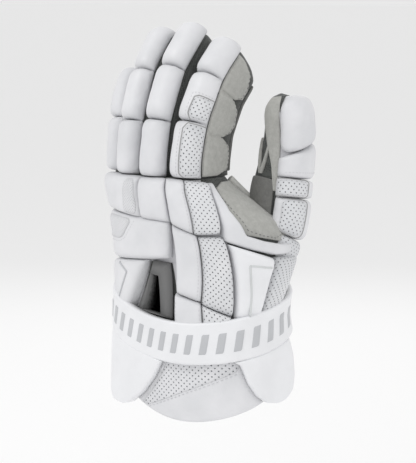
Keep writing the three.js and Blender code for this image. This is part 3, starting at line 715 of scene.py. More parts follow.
def outline_at(points, t):
    """The place at t along a list of (u, v) points."""
    at = t * (len(points) - 1)
    i = min(len(points) - 2, int(at))
    (a, b), (c, d) = points[i], points[i + 1]
    return lerp(a, c, at - i), lerp(b, d, at - i)


def puff(x, y, edge, fullness):
    """Share of the thickness at x, y from -1 to 1: edge at the rim, 1 in the middle."""
    side = max(0.0, 1 - abs(x) ** fullness) * max(0.0, 1 - abs(y) ** fullness)
    return edge + (1 - edge) * side**0.5


def place_at(left, right, x, y, rounding):
    """The (u, v) place at x, y from -1 to 1 between two edges, with rounded corners."""
    u = 0.5 + 0.5 * x * math.sqrt(max(0, 1 - rounding * abs(y) ** 6))
    v = 0.5 + 0.5 * y * math.sqrt(max(0, 1 - rounding * abs(x) ** 6))
    a, b = outline_at(left, v), outline_at(right, v)
    return lerp(a[0], b[0], u), lerp(a[1], b[1], u)


def crowded(t):
    """Moves evenly spaced places from -1 to 1 towards the rim, where a pad bends most."""
    return 0.35 * t + 0.65 * math.sin(math.pi / 2 * t)


print("swell from rim to middle:", [round(puff(x / 4, 0, 0.35, 5), 2) for x in (4, 3, 2, 1, 0)])

# %% What is sewn on a pad follows the pad's own top
TOPS = {}


def on_pad(pad, thick=0.5):
    """The surface of a finished pad: u and v run from -1 to 1 across and along it."""
    top = TOPS[pad]
    return lambda u, v, share: top(u, v, 0.02 + share * thick)


def pad_line(pad, places, lift=0.1, count=60):
    """Evenly spaced points along places on a finished pad's top."""
    dense = [outline_at(places, k / 60) for k in range(61)]
    return smooth_line([TOPS[pad](u, v, lift) for u, v in dense], count)


def uv_in_millimetres(grid):
    """Lengths along the surface from the middle column, so that holes keep their size."""
    middle = len(grid[0]) // 2
    result, along = [], 0.0
    for j, row in enumerate(grid):
        if j:
            along += (row[middle] - grid[j - 1][middle]).length
        across = [0.0]
        for a, b in zip(row, row[1:]):
            across.append(across[-1] + (b - a).length)
        result.append([(value - across[middle], along) for value in across])
    return result


# %% A patch: a grid laid on a surface, with a rim that turns down and a closed underside


def patch(name, surface, left, right, material, replaces=(), nx=28, ny=28, rounding=0.1, edge=0.35,
          fullness=5, padded=0.7, wrinkle=0.25, sink=-0.12, uv_at=None):
    """A pad or panel between a left and a right edge.

    rounding rounds its corners, edge is its share of the thickness at the rim, fullness how square
    its swell is, wrinkle the depth of its creases in millimetres, and sink how far its underside
    goes below the surface, as a share of the thickness.
    """
    seed = sum(ord(letter) for letter in name)

    def top_at(x, y, lift):
        u, v = place_at(left, right, x, y, rounding)
        share = puff(x, y, edge, fullness)
        point = surface(u, v, share)
        out = (surface(u, v, share + 0.1) - point).normalized()
        soft = noise.noise(point * 0.05 + Vector((seed, 0, 0)))
        fine = noise.noise(point * 0.16 + Vector((0, seed, 0)))
        crease = noise.noise(Vector((point.x * 0.5, point.y * 0.5, point.z * 0.22)) + Vector((seed, seed, 0)))
        near = max(abs(x), abs(y)) ** 3
        return point + out * (lift + wrinkle * (soft + fine * (0.3 + near) + 0.9 * crease * near))

    TOPS[name] = top_at
    xs = [crowded(2 * i / nx - 1) for i in range(nx + 1)]
    ys = [crowded(2 * j / ny - 1) for j in range(ny + 1)]
    places = [[place_at(left, right, x, y, rounding) for x in xs] for y in ys]
    top = [[top_at(x, y, 0) for x in xs] for y in ys]
    millimetres = [[uv_at(*p) for p in row] for row in places] if uv_at else uv_in_millimetres(top)

    work = bmesh.new()
    seam = work.verts.layers.float.new("rim")
    upper = bmesh.ops.create_grid(work, x_segments=nx, y_segments=ny, size=1)["verts"]
    cells = {v: (round((v.co.y + 1) / 2 * ny), round((v.co.x + 1) / 2 * nx)) for v in upper}
    rim = [e for e in work.edges if e.is_boundary]
    lower = bmesh.ops.duplicate(work, geom=work.verts[:] + work.edges[:] + work.faces[:])
    bmesh.ops.reverse_faces(work, faces=[f for f in lower["geom"] if isinstance(f, bmesh.types.BMFace)])
    uvs = {}
    for vertex in upper:
        j, i = cells[vertex]
        uvs[vertex] = millimetres[j][i]
        vertex.co = top[j][i] * MM
        lower["vert_map"][vertex].co = surface(*places[j][i], sink) * MM
    for share in (0.55 * edge, sink):
        made = bmesh.ops.extrude_edge_only(work, edges=rim)["geom"]
        fresh = [v for v in made if isinstance(v, bmesh.types.BMVert)]
        edges = [e for e in made if isinstance(e, bmesh.types.BMEdge)]
        rim = [e for e in edges if e.verts[0] in fresh and e.verts[1] in fresh]
        # each new vertex is the twin of the one that it was extruded from, not of its neighbours
        for vertex in fresh:
            others = [e.other_vert(vertex) for e in vertex.link_edges]
            old = next(v for v in others if v in cells and v not in fresh)
            j, i = cells[vertex] = cells[old]
            uvs[vertex] = uvs[old]
            vertex.co = surface(*places[j][i], share) * MM
    # rim runs from 0 in the middle of a pad to 1 at its rim: the leather turns it into folds and a darker
    # colour, painted seam shade and wear
    for vertex, (j, i) in cells.items():
        vertex[seam] = max(abs(xs[i]), abs(ys[j])) ** 7
    return finish_piece(name, work, material, replaces, uvs)


def panel(name, surface, left, right, material, replaces=(), **options):
    """A thin piece: a patch with square corners and no creases of its own."""
    plain = {"rounding": 0, "padded": None, "wrinkle": 0}
    return patch(name, surface, left, right, material, replaces, **{**plain, **options})


def box_patch(name, surface, corners, material, **options):
    """A patch with four corners: lower left, lower right, upper right, upper left."""
    low_left, low_right, high_right, high_left = corners
    return patch(name, surface, [low_left, high_left], [low_right, high_right], material, **options)


# %% Round bars for piping and rolled edges


def bar(name, line, radius, material, sides=8, replaces=()):
    rings = []
    up = Vector((0.3, -0.7, 0.6))
    for i, point in enumerate(line):
        tangent = (line[min(len(line) - 1, i + 1)] - line[max(0, i - 1)]).normalized()
        a = tangent.cross(up).normalized() * radius
        b = tangent.cross(a)
        angles = [2 * math.pi * k / sides for k in range(sides)]
        rings.append([point + a * math.cos(angle) + b * math.sin(angle) for angle in angles])
    work = bmesh.new()
    for ring in loft(work, rings):
        cap(work, ring)
    return finish_piece(name, work, material, replaces)


# %% Stitches: one drawn-out ball for each thread, joined into one mesh


def stitches(name, lines, material, length=2.6, gap=1.5, radius=0.32):
    work = bmesh.new()
    for line in lines:
        total = sum((b - a).length for a, b in zip(line, line[1:]))
        count = max(1, int(total / (length + gap)))
        marks = smooth_line(line, count * 2 + 1)
        for a, b in zip(marks[0:-1:2], marks[1::2]):
            turn = (b - a).to_track_quat("Z", "Y").to_matrix().to_4x4()
            size = Matrix.Diagonal((radius * MM, radius * MM, length / 2 * MM, 1))
            place = Matrix.Translation(((a + b) / 2) * MM) @ turn @ size
            bmesh.ops.create_uvsphere(work, u_segments=6, v_segments=5, radius=1, matrix=place)
    return finish_piece(name, work, material)


def edge_line(surface, places, share, count=60):
    """Points on a surface through (u, v) places, at one share of the thickness."""
    dense = [outline_at(places, k / 40) for k in range(41)]
    return smooth_line([surface(u, v, share) for u, v in dense], count)


# %% Sleeves and hoops


def tube(name, radius_at, path, start, stop, material, replaces, sides=40, rows=60, wall=SLEEVE_WALL):
    """A sleeve with an open end at its base and a round tip, walled inside."""
    marks = [lerp(start, stop, k / rows) for k in range(rows + 1)]
    rings = []
    for lift, line in ((0, marks), (-wall, list(reversed(marks)))):
        for s in line:
            at = min(s, path[0] - (wall if lift else 0) - 0.02)
            turns = [360 * k / sides for k in range(sides)]
            rings.append([around(path, at, turn, max(0.05, radius_at(at, turn, lift))) for turn in turns])
    work = bmesh.new()
    join_rings(work, *loft(work, rings))
    return finish_piece(name, work, material, replaces)


def hoop(name, profile, material, replaces, steps=144):
    """A ring round the wrist: profile gives (lift, height) rows at each angle."""
    turns = [360 * k / steps for k in range(steps)]
    rings = [[hand_point(turn, z, lift) for lift, z in profile(turn)] for turn in turns]
    work = bmesh.new()
    join_rings(work, *loft(work, rings))
    return finish_piece(name, work, material, replaces)


# %% [markdown]
# ## The hand and its sleeves
# The body of the glove is a bag of dark knitted mesh with a lining. It could be a solid block under the
# pads, but the wrist is open and the vent shows the inside. So it is a real wall: an outer skin, an
# inner skin, and a join between them at the wrist.

# %% The hand's body: a walled tube, closed at the knuckles, with the vent cut through it
SHELL_BOTTOM = -10
VENT_OUTLINE = [(-31, 0.05), (11, 0.0), (15, 0.4), (-6, 0.41)]
VENT_OPENING = [(-25, 0.03), (-2, 0.015), (-2, 0.3), (-12, 0.31)]
VENT_FROM, VENT_TO = 0.03, 0.3
VENT_LEFT = (-26.5, -13.5)
VENT_RIGHT = -2.5


def in_vent(degrees, z):
    """True between the vent's slanted left edge and its upright right edge."""
    degrees = degrees - 360 if degrees > 180 else degrees
    share = z / PALM_LENGTH
    t = (share - VENT_FROM) / (VENT_TO - VENT_FROM)
    return 0 < t < 1 and lerp(*VENT_LEFT, t) < degrees < VENT_RIGHT


def hand_body():
    sides, rows = 120, 70
    turns = [360 * k / sides for k in range(sides)]
    work = bmesh.new()
    starts, holes = [], []
    for lift, top in ((0, PALM_LENGTH), (-SHELL_WALL, PALM_LENGTH - SHELL_WALL)):
        heights = [lerp(SHELL_BOTTOM, top, k / rows) for k in range(rows + 1)]
        before = set(work.faces)
        first, last = loft(work, [[hand_point(turn, z, lift) for turn in turns] for z in heights])
        cap(work, last)
        starts.append(first)
        for face in set(work.faces) - before:
            face.material_index = 1 if lift else 0
            place = face.calc_center_median() / MM
            if len(face.verts) == 4 and place.y < 0 and VENT_FROM < place.z / PALM_LENGTH < VENT_TO:
                middle = hand_point(0, place.z, lift)
                if abs(place.x - middle.x) < 45:
                    near = min(turns, key=lambda turn: (hand_point(turn, place.z, lift) - place).length)
                    if in_vent(near, place.z):
                        holes.append(face)
    join_rings(work, *starts)
    bmesh.ops.delete(work, geom=holes, context="FACES")
    piece = finish_piece("palm_body", work, "mesh", ["palm_shell", "wrist_shell"])
    piece.data.materials.append(MATERIALS["lining"])


hand_body()
tell("The hand's body")

# %% Finger and thumb sleeves
for name, path in FINGER_PATHS.items():
    radius_at = lambda s, degrees, lift, name=name, path=path: finger_radius(name, path[0], s, degrees, lift)
    tube(f"{name}_mesh", radius_at, path, 0, path[0], "mesh", [f"{name}_sleeve"])
thumb_at = lambda s, degrees, lift: thumb_radius(THUMB[0], s, degrees, lift)
tube("thumb_mesh", thumb_at, THUMB, THUMB[0] * 0.12, THUMB[0], "mesh", ["thumb_sleeve"])
tell("Sleeves")

# %% [markdown]
# ## Pads
# Each pad is foam in a leather cover, stitched down along its rim, so it swells and pulls into creases there.
# A cloth simulation could blow it up. Here a formula gives the swell and noise gives the creases: each pad
# keeps its place beside the next one, and every run gives the same shape.

# %% Finger pads
PAD_STOPS = {
    "index": (0, 0.36, 0.68, 1),
    "middle": (0, 0.33, 0.65, 1),
    "ring": (0, 0.33, 0.65, 1),
    "pinky": (0, 0.5, 1),
}
PAD_NAMES = {2: ("base_pad", "tip_pad"), 3: ("base_pad", "middle_pad", "tip_pad")}
for name, stops in PAD_STOPS.items():
    surface = finger_pad_surface(name)
    half = SEAM / 2 / FINGER_PATHS[name][0]
    right = 55 if name == "index" else 44
    for k, part in enumerate(PAD_NAMES[len(stops) - 1]):
        low, high = stops[k] + half, stops[k + 1] - half
        corners = [(-80, low), (right, low), (right, high), (-80, high)]
        box_patch(f"{name}_{part}_leather", surface, corners, "white", replaces=[f"{name}_{part}"],
                  edge=0.42, fullness=9, rounding=0.03, wrinkle=0.5)
tell("Finger pads")

# %% Pads of the hand: degrees round the hand and shares of its length at the four corners
HAND_PADS = {
    "knuckle_pad_outer": [(-58, 0.75), (-6, 0.71), (10, 0.995), (-64, 0.995)],
    "knuckle_pad_middle": [(-5, 0.71), (31, 0.695), (45, 0.995), (11, 0.995)],
    "knuckle_pad_index": [(32, 0.69), (48, 0.62), (61, 0.99), (46, 0.995)],
    "knuckle_perforated": [(49, 0.62), (65, 0.63), (79, 0.97), (62, 0.99)],
    "back_pad_outer": [(-66, 0.38), (18, 0.44), (31, 0.695), (-62, 0.735)],
    "back_pad_middle": [(19, 0.2), (39, 0.14), (50, 0.61), (32, 0.68)],
    "back_perforated": [(40, 0.13), (60, 0.04), (66, 0.605), (51, 0.6)],
    "wrist_pad_outer": [(-60, 0.03), (-38, 0.03), (-11.5, 0.41), (-66, 0.37)],
    "wrist_pad_middle": [(16, -0.04), (39, -0.06), (39, 0.13), (18, 0.19)],
    "wrist_perforated": [(40, -0.06), (58, -0.03), (59, 0.03), (40, 0.12)],
    "side_perforated": [(80, 0.04), (96, 0.09), (117, 0.44), (94, 0.45)],
}
for name, corners in HAND_PADS.items():
    kind = "perforated" if "perforated" in name else "white"
    grow = ((-0.55, -0.005), (0.55, -0.005), (0.55, 0.005), (-0.55, 0.005))
    corners = [(u + du, v + dv) for (u, v), (du, dv) in zip(corners, grow)]
    box_patch(f"{name}_leather", raised(on_hand, HAND_PAD_THICK), corners, kind, replaces=[name],
              edge=0.35, fullness=8, rounding=0.05, wrinkle=0.4)
tell("Pads of the hand")

# %% Thumb pads
THUMB_PADS = {
    # left, right, from, to, material
    "thumb_tip_pad": (-75, 112, 0.67, 0.985, "white"),
    "thumb_bend_pad": (-75, 112, 0.54, 0.67, "white"),
    "thumb_upper_perforated": (-75, 105, 0.43, 0.54, "white"),
    "thumb_middle_perforated": (-75, 100, 0.24, 0.43, "white"),
    "thumb_lower_perforated": (-60, 90, 0.04, 0.24, "perforated"),
}
for name, (left, right, low, high, kind) in THUMB_PADS.items():
    half = SEAM / 2 / THUMB[0]
    corners = [[left, low + half], [right, low + half], [right, high - half], [left, high - half]]
    # the seam between the tip and the bend runs at a slant
    if name == "thumb_tip_pad":
        corners[0][1] -= 0.025
        corners[1][1] += 0.13
        corners[2][0], corners[3][0] = 92, -66
    if name == "thumb_bend_pad":
        corners[2][1] += 0.13
        corners[3][1] -= 0.025
    round_share = 0.3 if name == "thumb_tip_pad" else 0.06
    box_patch(f"{name}_leather", thumb_pad_surface, [tuple(c) for c in corners], kind, replaces=[name],
              edge=0.35, fullness=7, rounding=round_share, wrinkle=0.4)
tell("Thumb pads")

# %% [markdown]
# ## Panels
# Suede covers the index finger's side, the web and the palm, where the glove rubs on the stick.
# The panels could be painted on the sleeves. Here each is a thin piece with its own rim, because its edge
# catches the light in the photograph. The moulded shield stands higher and is made the same way.

# %% Suede down the index finger, in three lobes
INDEX_LOBES = [
    [(120, 0.01), (148, 0.05), (153, 0.16), (148, 0.25), (128, 0.305)],
    [(128, 0.315), (146, 0.37), (152, 0.46), (147, 0.56), (130, 0.615)],
    [(130, 0.625), (148, 0.68), (150, 0.78), (138, 0.88), (100, 0.93)],
]


LOBE_THICK = 3.0
index_side = raised(on_finger("index"), LOBE_THICK)
panel("index_suede_base", lambda u, v, share: index_side(u, v, share * 0.5), [(58, 0.01), (57, 0.93)],
      [(124, 0.01), (124, 0.62), (100, 0.92)], "suede", ["index_suede_panel"],
      nx=24, ny=60, edge=0.35, fullness=30, sink=-0.05)
for k, lobe in enumerate(INDEX_LOBES):
    left = [(60, lobe[0][1]), (60, lobe[-1][1])]
    patch(f"index_suede_{k + 1}", index_side, left, lobe, "suede", ["index_suede_panel"], nx=30, ny=40,
          rounding=0.0, edge=0.45, fullness=6, padded=0.5, wrinkle=0.25)
tell("Suede down the index finger")

# %% Suede on the palm side of the fingers and on the palm
for name in FINGERS:
    corners = [(163, 0.03), (197, 0.03), (197, 0.9), (163, 0.9)]
    box_patch(f"{name}_palm", raised(on_finger(name), SUEDE_THICK), corners, "suede_dark",
              replaces=[f"{name}_palm_suede"], nx=14, ny=50, edge=0.7, fullness=10, padded=None, wrinkle=0.1)

suede_on_hand = raised(on_hand, SUEDE_THICK)
PALM_PANELS = {
    "palm_suede_thumb": [(132, 0.4), (200, 0.42), (203, 0.96), (136, 0.96)],
    "palm_suede_outer": [(202, 0.42), (272, 0.4), (282, 0.96), (205, 0.96)],
}
for name, corners in PALM_PANELS.items():
    box_patch(f"{name}_panel", suede_on_hand, corners, "suede_dark", replaces=[name], nx=50, ny=40,
              edge=0.7, fullness=12, padded=None, wrinkle=0.2)
tell("Suede on the palm side")

# %% Web between index finger and thumb
WEB_LEFT = [(80, 0.62), (81, 0.8), (86, 0.93), (95, 0.97)]
WEB_RIGHT = [(104, 0.55), (117, 0.58), (125, 0.63), (128, 0.69), (126, 0.78), (118, 0.88), (111, 0.97)]
panel("web_suede", suede_on_hand, WEB_LEFT, WEB_RIGHT, "suede", ["web_suede_panel"], nx=40, ny=40,
      edge=0.6, fullness=12, wrinkle=0.15)

WEB_PAD_THICK = 8.7
WEB_OUTER = [(80, 0.97), (70, 0.72), (66, 0.58), (78, 0.52), (92, 0.47), (108, 0.46)]
WEB_INNER = [(84, 0.97), (80, 0.8), (79.5, 0.62), (88, 0.575), (98, 0.545), (112, 0.54)]
patch("web_frame_leather", raised(on_hand, WEB_PAD_THICK), WEB_OUTER, WEB_INNER, "white", ["web_pad"],
      nx=16, ny=60, rounding=0.02, edge=0.25)
WEB_EDGE = [(112, 0.985), (120, 0.88), (128, 0.78), (131, 0.69), (128, 0.61)]
bar("web_rolled_edge", smooth_line([on_hand(u, v, 3.2) for u, v in WEB_EDGE], 40), 2.6, "suede_pale", 14,
    replaces=["web_binding"])
tell("Web")

# %% Shield over the base of the thumb, with a pressed corner line
SHIELD_THICK = 10.7
shield_surface = raised(on_hand, SHIELD_THICK)
panel("shield_shell", shield_surface, [(61.8, 0.02), (67.2, 0.5), (67.5, 0.56)], [(78, 0.02), (92, 0.445)],
      "moulded", ["thumb_shield"], nx=40, ny=60, rounding=0.04, edge=0.35, fullness=7)
tell("Shield")

# %% Vent: a frame round the opening
VENT_THICK = 3


def four_sided_ring(surface, outline, share, steps=30):
    corners = [*outline, outline[0]]
    return [surface(*outline_at(corners, k / steps / 4), share) for k in range(4 * steps)]


def vent_ring():
    """A frame between two four-sided outlines, turned down into the opening."""
    work = bmesh.new()
    levels = ((VENT_OUTLINE, 0), (VENT_OUTLINE, 0.9), (VENT_OPENING, 0.9), (VENT_OPENING, -2.5))
    surface = raised(on_hand, VENT_THICK)
    join_rings(work, *loft(work, [four_sided_ring(surface, *level) for level in levels]))
    finish_piece("vent_ring", work, "vent", ["vent_frame"])


vent_ring()
tell("Vent")

# %% Suede on the thumb
THUMB_STRIP_LEFT = [(-128, 0.985), (-132, 0.93), (-130, 0.84), (-118, 0.72), (-98, 0.6), (-84, 0.46)]
THUMB_STRIP_RIGHT = [(-60, 0.985), (-68, 0.95), (-73, 0.84), (-73, 0.7), (-73, 0.6), (-73, 0.46)]
suede_on_thumb = raised(on_thumb, SUEDE_THICK)
panel("thumb_strip", suede_on_thumb, list(reversed(THUMB_STRIP_LEFT)), list(reversed(THUMB_STRIP_RIGHT)),
      "suede", ["thumb_suede_strip"], nx=20, ny=40, edge=0.6, fullness=10, wrinkle=0.1)
box_patch("thumb_inner", suede_on_thumb, [(-165, 0.2), (-84, 0.2), (-84, 0.52), (-160, 0.54)], "suede_dark",
          replaces=["thumb_suede_inner"], nx=30, ny=30, edge=0.7, fullness=12, padded=None, wrinkle=0.1)
tell("Suede on the thumb")

# %% [markdown]
# ## Cuff
# A moulded band holds the wrist, and the padded bell floats under it with a long tongue and two tabs.
# They could be lofted from a few curves. Here a closed outline is turned round the wrist and its height
# changes with the angle, because the band dips in front and the bell runs out into the tongue.

# %% Band, bell and tabs
BAND_ANGLE = 24
BAND_MIDDLE = 3
BAND_TILT = 19
BAND_LIFT = 6.3
BAND_THICK = 5
BAND_HEIGHT = 31
TONGUE_SHORT = 20
CUFF_THICK = 5.3
BELL_LIFT = 1.4


def band_height_at(degrees):
    return BAND_MIDDLE - BAND_TILT * math.cos(math.radians(degrees - BAND_ANGLE))


def band_profile(degrees):
    middle, half = band_height_at(degrees), BAND_HEIGHT / 2
    rows = []
    for k in range(9):
        angle = math.pi / 2 * k / 8
        lift = BAND_LIFT + BAND_THICK - 2 + 2 * math.sin(angle)
        rows.append((lift, middle - half + 2 - 2 * math.cos(angle)))
    for k in range(12):
        rows.append((BAND_LIFT + BAND_THICK, lerp(middle - half + 2.4, middle + half - 2.4, k / 11)))
    for k in range(9):
        angle = math.pi / 2 * k / 8
        lift = BAND_LIFT + BAND_THICK - 2 + 2 * math.cos(angle)
        rows.append((lift, middle + half - 2 + 2 * math.sin(angle)))
    rows += [(BAND_LIFT, middle + half), (BAND_LIFT, middle), (BAND_LIFT, middle - half)]
    return rows


def bell_profile(degrees):
    across = abs((degrees - BAND_ANGLE + 180) % 360 - 180)
    lean = math.cos(math.radians(across) * 0.9) if across < 100 else 0
    low = -TONGUE_SHORT - (CUFF_LENGTH - TONGUE_SHORT) * max(0, lean) ** 0.75
    top = band_height_at(degrees) + BAND_HEIGHT * 0.2
    rows = []
    for k in range(9):
        angle = math.pi * k / 8
        mid, half = (BELL_LIFT + CUFF_THICK) / 2, (CUFF_THICK - BELL_LIFT) / 2
        rows.append((mid - half * math.cos(angle), low + half - half * math.sin(angle)))
    rows += [(CUFF_THICK, lerp(low + 3, top, k / 14)) for k in range(15)]
    rows += [(BELL_LIFT, lerp(top, low + 3, k / 14)) for k in range(15)]
    return rows


hoop("band_shell", band_profile, "moulded", ["wrist_band"])
hoop("bell_leather", bell_profile, "white", ["cuff_bell"])


def tab_surface(u, v, share):
    return on_cuff(u, v, BAND_LIFT + share * BAND_THICK)


def band_low(degrees):
    return (band_height_at(degrees) - BAND_HEIGHT / 2 - 0.3) / CUFF_LENGTH


TABS = {
    "outer_tab": (
        [(-37, -0.91), (-50, -0.9), (-60, -0.84), (-68, -0.7), (-72, -0.4), (-72, None)],
        [(-35, -0.91), (-26, -0.87), (-14, -0.75), (-3, -0.58), (4, -0.42), (6, None)],
    ),
    "thumb_tab": (
        [(84, -0.82), (77, -0.8), (71, -0.73), (66, -0.6), (62, -0.42), (58, None)],
        [(86, -0.82), (94, -0.79), (102, -0.72), (107, -0.58), (108, -0.4), (104, None)],
    ),
}
for name, edges in TABS.items():
    left, right = ([(u, band_low(u) if v is None else v) for u, v in edge] for edge in edges)
    panel(f"{name}_shell", tab_surface, left, right, "moulded", [name], nx=36, ny=44,
          edge=0.7, fullness=14, sink=0.0)
tell("Band, bell and tabs")

# %% [markdown]
# ## What is sewn between and on the pads
# Thread, piping and thin perforated pieces show how the glove is sewn.
# They could be bump in a material. Here they are geometry that follows the top of the pad below, because
# the stitches cast small shadows and the pad's swell bends them.

# %% Leather that the pads are sewn to, seen only in the seams, coloured grey as painted seam shade


def backing(name, surface, left, right, lift=0.35, thick=0.7, **options):
    skin = lambda u, v, share: surface(u, v, lift + share * thick)
    panel(name, skin, left, right, "backing", edge=0.8, fullness=20, **options)


backing("hand_backing_upper", on_hand, [(-64, 0.4), (-63, 0.99)], [(66, 0.4), (76, 0.99)], ny=50)
backing("hand_backing_lower", on_hand, [(17, -0.05), (17, 0.41)], [(60, -0.05), (66, 0.41)])
backing("hand_backing_outer", on_hand, [(-60, 0.02), (-64, 0.41)], [(-36, 0.02), (-12, 0.405)])
for name in FINGERS:
    right = 54 if name == "index" else 41
    backing(f"{name}_backing", on_finger(name), [(-78, 0.0), (-78, 0.9)], [(right, 0.0), (right, 0.9)],
            thick=2.2, ny=60)
backing("thumb_backing", on_thumb, [(-72, 0.2), (-72, 0.9)], [(98, 0.2), (104, 0.9)], thick=1.8, ny=60)
tell("Leather under the seams")

# %% Perforated pieces sewn on the pads: places run from -1 to 1 across and along each pad
OVERLAYS = {
    "thumb_upper_holes": (
        "thumb_upper_perforated", "perforated",
        [(-0.95, -0.78), (-0.22, -0.78), (-0.22, 0.78), (-0.95, 0.78)]),
    "thumb_middle_holes": (
        "thumb_middle_perforated", "perforated", [(-0.78, -0.9), (-0.18, -0.9), (-0.18, 0.88), (-0.8, 0.88)]),
    "index_base_perforated": (
        "index_base_pad", "perforated", [(0.34, -0.9), (0.95, -0.88), (0.95, 0.88), (0.3, 0.9)]),
    "index_middle_perforated": (
        "index_middle_pad", "perforated", [(0.34, -0.92), (0.95, -0.9), (0.95, -0.05), (0.38, -0.1)]),
    "back_fine_perforated": (
        "back_pad_outer", "fine", [(-0.86, -0.1), (-0.35, -0.1), (0.02, 0.86), (-0.86, 0.88)]),
    "knuckle_fine_perforated": (
        "knuckle_pad_outer", "fine", [(0.25, -0.84), (0.9, -0.84), (0.88, 0.9), (0.5, 0.9)]),
}
for name, (pad, kind, corners) in OVERLAYS.items():
    box_patch(name, on_pad(f"{pad}_leather", 0.45), corners, kind, rounding=0.25, edge=0.4, fullness=14,
              padded=None, wrinkle=0, sink=-1.5)
tell("Pieces sewn on the pads")

# %% Piping: thin grey cords beside the perforated pieces
PIPING_RADIUS = 0.42
PIPING = {
    "index_base_piping": (
        "index_base_pad", [(0.4, -0.97), (0.31, -0.8), (0.27, 0.75), (0.36, 0.93), (0.96, 0.93)]),
    "index_middle_piping": (
        "index_middle_pad", [(0.36, -0.97), (0.31, -0.8), (0.35, -0.12), (0.45, -0.02), (0.96, 0.02)]),
    "knuckle_piping": ("knuckle_perforated", [(-0.97, -0.9), (-0.97, 0.9)]),
    "back_piping": ("back_perforated", [(-0.97, -0.95), (-0.97, 0.95)]),
    "wrist_piping": ("wrist_perforated", [(-0.95, -0.9), (-0.95, 0.9)]),
    "thumb_upper_piping": (
        "thumb_upper_perforated",
        [(-0.96, -0.9), (-0.25, -0.9), (-0.19, -0.75), (-0.19, 0.75), (-0.25, 0.9), (-0.96, 0.9)]),
    "thumb_middle_piping": (
        "thumb_middle_perforated",
        [(-0.82, -0.95), (-0.22, -0.96), (-0.15, -0.85), (-0.15, 0.82), (-0.22, 0.93), (-0.82, 0.93)]),
    "side_piping": ("side_perforated", [(0.9, -0.9), (0.93, 0.9)]),
}
for name, (pad, places) in PIPING.items():
    bar(name, pad_line(f"{pad}_leather", places), PIPING_RADIUS, "piping")
tell("Piping")

# %% Stitched seams on the pads
PAD_SEAMS = {
    "middle_base_pad": [[(-0.72, -0.85), (-0.74, 0.85)]],
    "middle_middle_pad": [[(-0.72, -0.85), (-0.72, 0.85)]],
    "index_base_pad": [[(0.22, -0.88), (0.18, 0.88)]],
    "index_middle_pad": [[(0.22, -0.88), (0.26, 0.08), (0.92, 0.12)]],
    "knuckle_pad_index": [[(0.72, -0.85), (0.72, 0.88)]],
    "back_pad_middle": [[(0.7, -0.9), (0.72, 0.9)]],
    "wrist_pad_middle": [[(-0.8, -0.8), (-0.8, 0.7)], [(0.8, -0.8), (0.8, 0.7)]],
    "back_pad_outer": [[(-0.9, -0.22), (-0.42, -0.22), (-0.25, -0.05), (0.1, 0.84)]],
    "thumb_bend_pad": [[(-0.8, -0.55), (0.85, -0.6)]],
}
lines = [pad_line(f"{pad}_leather", places, 0.06) for pad, paths in PAD_SEAMS.items() for places in paths]
stitches("pad_stitches", lines, "thread", length=1.7, gap=1.0, radius=0.2)
tell("Stitched seams")

# %% Grey inlay on the wrist pad: a thin line that turns once
INLAY = [(-0.2, 0.85), (0.1, 0.68), (0.36, 0.5), (0.26, 0.1), (0.12, -0.5)]
bar("wrist_inlay", pad_line("wrist_pad_outer_leather", INLAY, 0.05), 0.8, "silver")
tell("Grey inlay")

# %% Two bands across the dark inner side of the thumb, in a V
BANDS = {
    "thumb_band_left": ([(-138, 0.55), (-160, 0.76)], [(-132, 0.55), (-153, 0.76)]),
    "thumb_band_right": ([(-136, 0.55), (-112, 0.74)], [(-130, 0.55), (-105, 0.74)]),
}
for name, (left, right) in BANDS.items():
    panel(name, suede_on_thumb, left, right, "suede", nx=10, ny=30, edge=0.5, fullness=8, wrinkle=0.1)
tell("Bands in the thumb")

# %% Stitches along the suede


web_low = [(84, 0.94), (83.5, 0.8), (83, 0.65), (90, 0.61), (98, 0.585), (107, 0.615)]
lobe_line = [(0.84, -0.8), (0.86, 0.0), (0.84, 0.8)]
lines = [pad_line(f"index_suede_{k}", lobe_line) for k in (1, 2, 3)]
lines.append(edge_line(suede_on_hand, web_low, 1.05))
stitches("suede_stitches", lines, "thread_grey", length=2.0, gap=1.4, radius=0.26)
tell("Stitches along the suede")

# %% Lines pressed into the shield: an upright one and one across


def shield_line(places, name):
    line = smooth_line([shield_surface(u, v, 1.0) for u, v in places], 40)
    bar(name, line, 0.8, "silver_pale", 10)


shield_line([(69.5, 0.05), (71.5, 0.2), (73.5, 0.41)], "shield_upright_line")
shield_line([(73.5, 0.41), (79, 0.4), (86, 0.385)], "shield_cross_line")
tell("Lines on the shield")

# %% Plain slanted bars on the band


def band_surface(u, v, share):
    return hand_point(u, band_height_at(u) + v * BAND_HEIGHT, BAND_LIFT + BAND_THICK + share * 0.5)


def bars(name, surface, corner_sets, material, across=6, along=10):
    """Flat raised bars, each a small grid with its rim sunk, joined into one mesh."""
    work = bmesh.new()
    for low_left, low_right, high_right, high_left in corner_sets:
        for vertex in bmesh.ops.create_grid(work, x_segments=across, y_segments=along, size=1)["verts"]:
            x, y = vertex.co.x, vertex.co.y
            place = place_at([low_left, high_left], [low_right, high_right], x, y, 0)
            rim = max(abs(x), abs(y)) > 0.999
            vertex.co = surface(*place, -0.4 if rim else 1) * MM
    return finish_piece(name, work, material)


BAR_SETS = [[(a, -0.26), (a + 5.5, -0.26), (a + 8.5, 0.24), (a + 3, 0.24)] for a in range(-64, 112, 11)]
bars("band_bars", band_surface, BAR_SETS, "silver")
tell("Bars on the band")

# %% Tongue: a perforated half above a stitched line


def tongue_surface(u, v, share):
    return on_cuff(u, v, CUFF_THICK + 0.02 + share * 0.4)


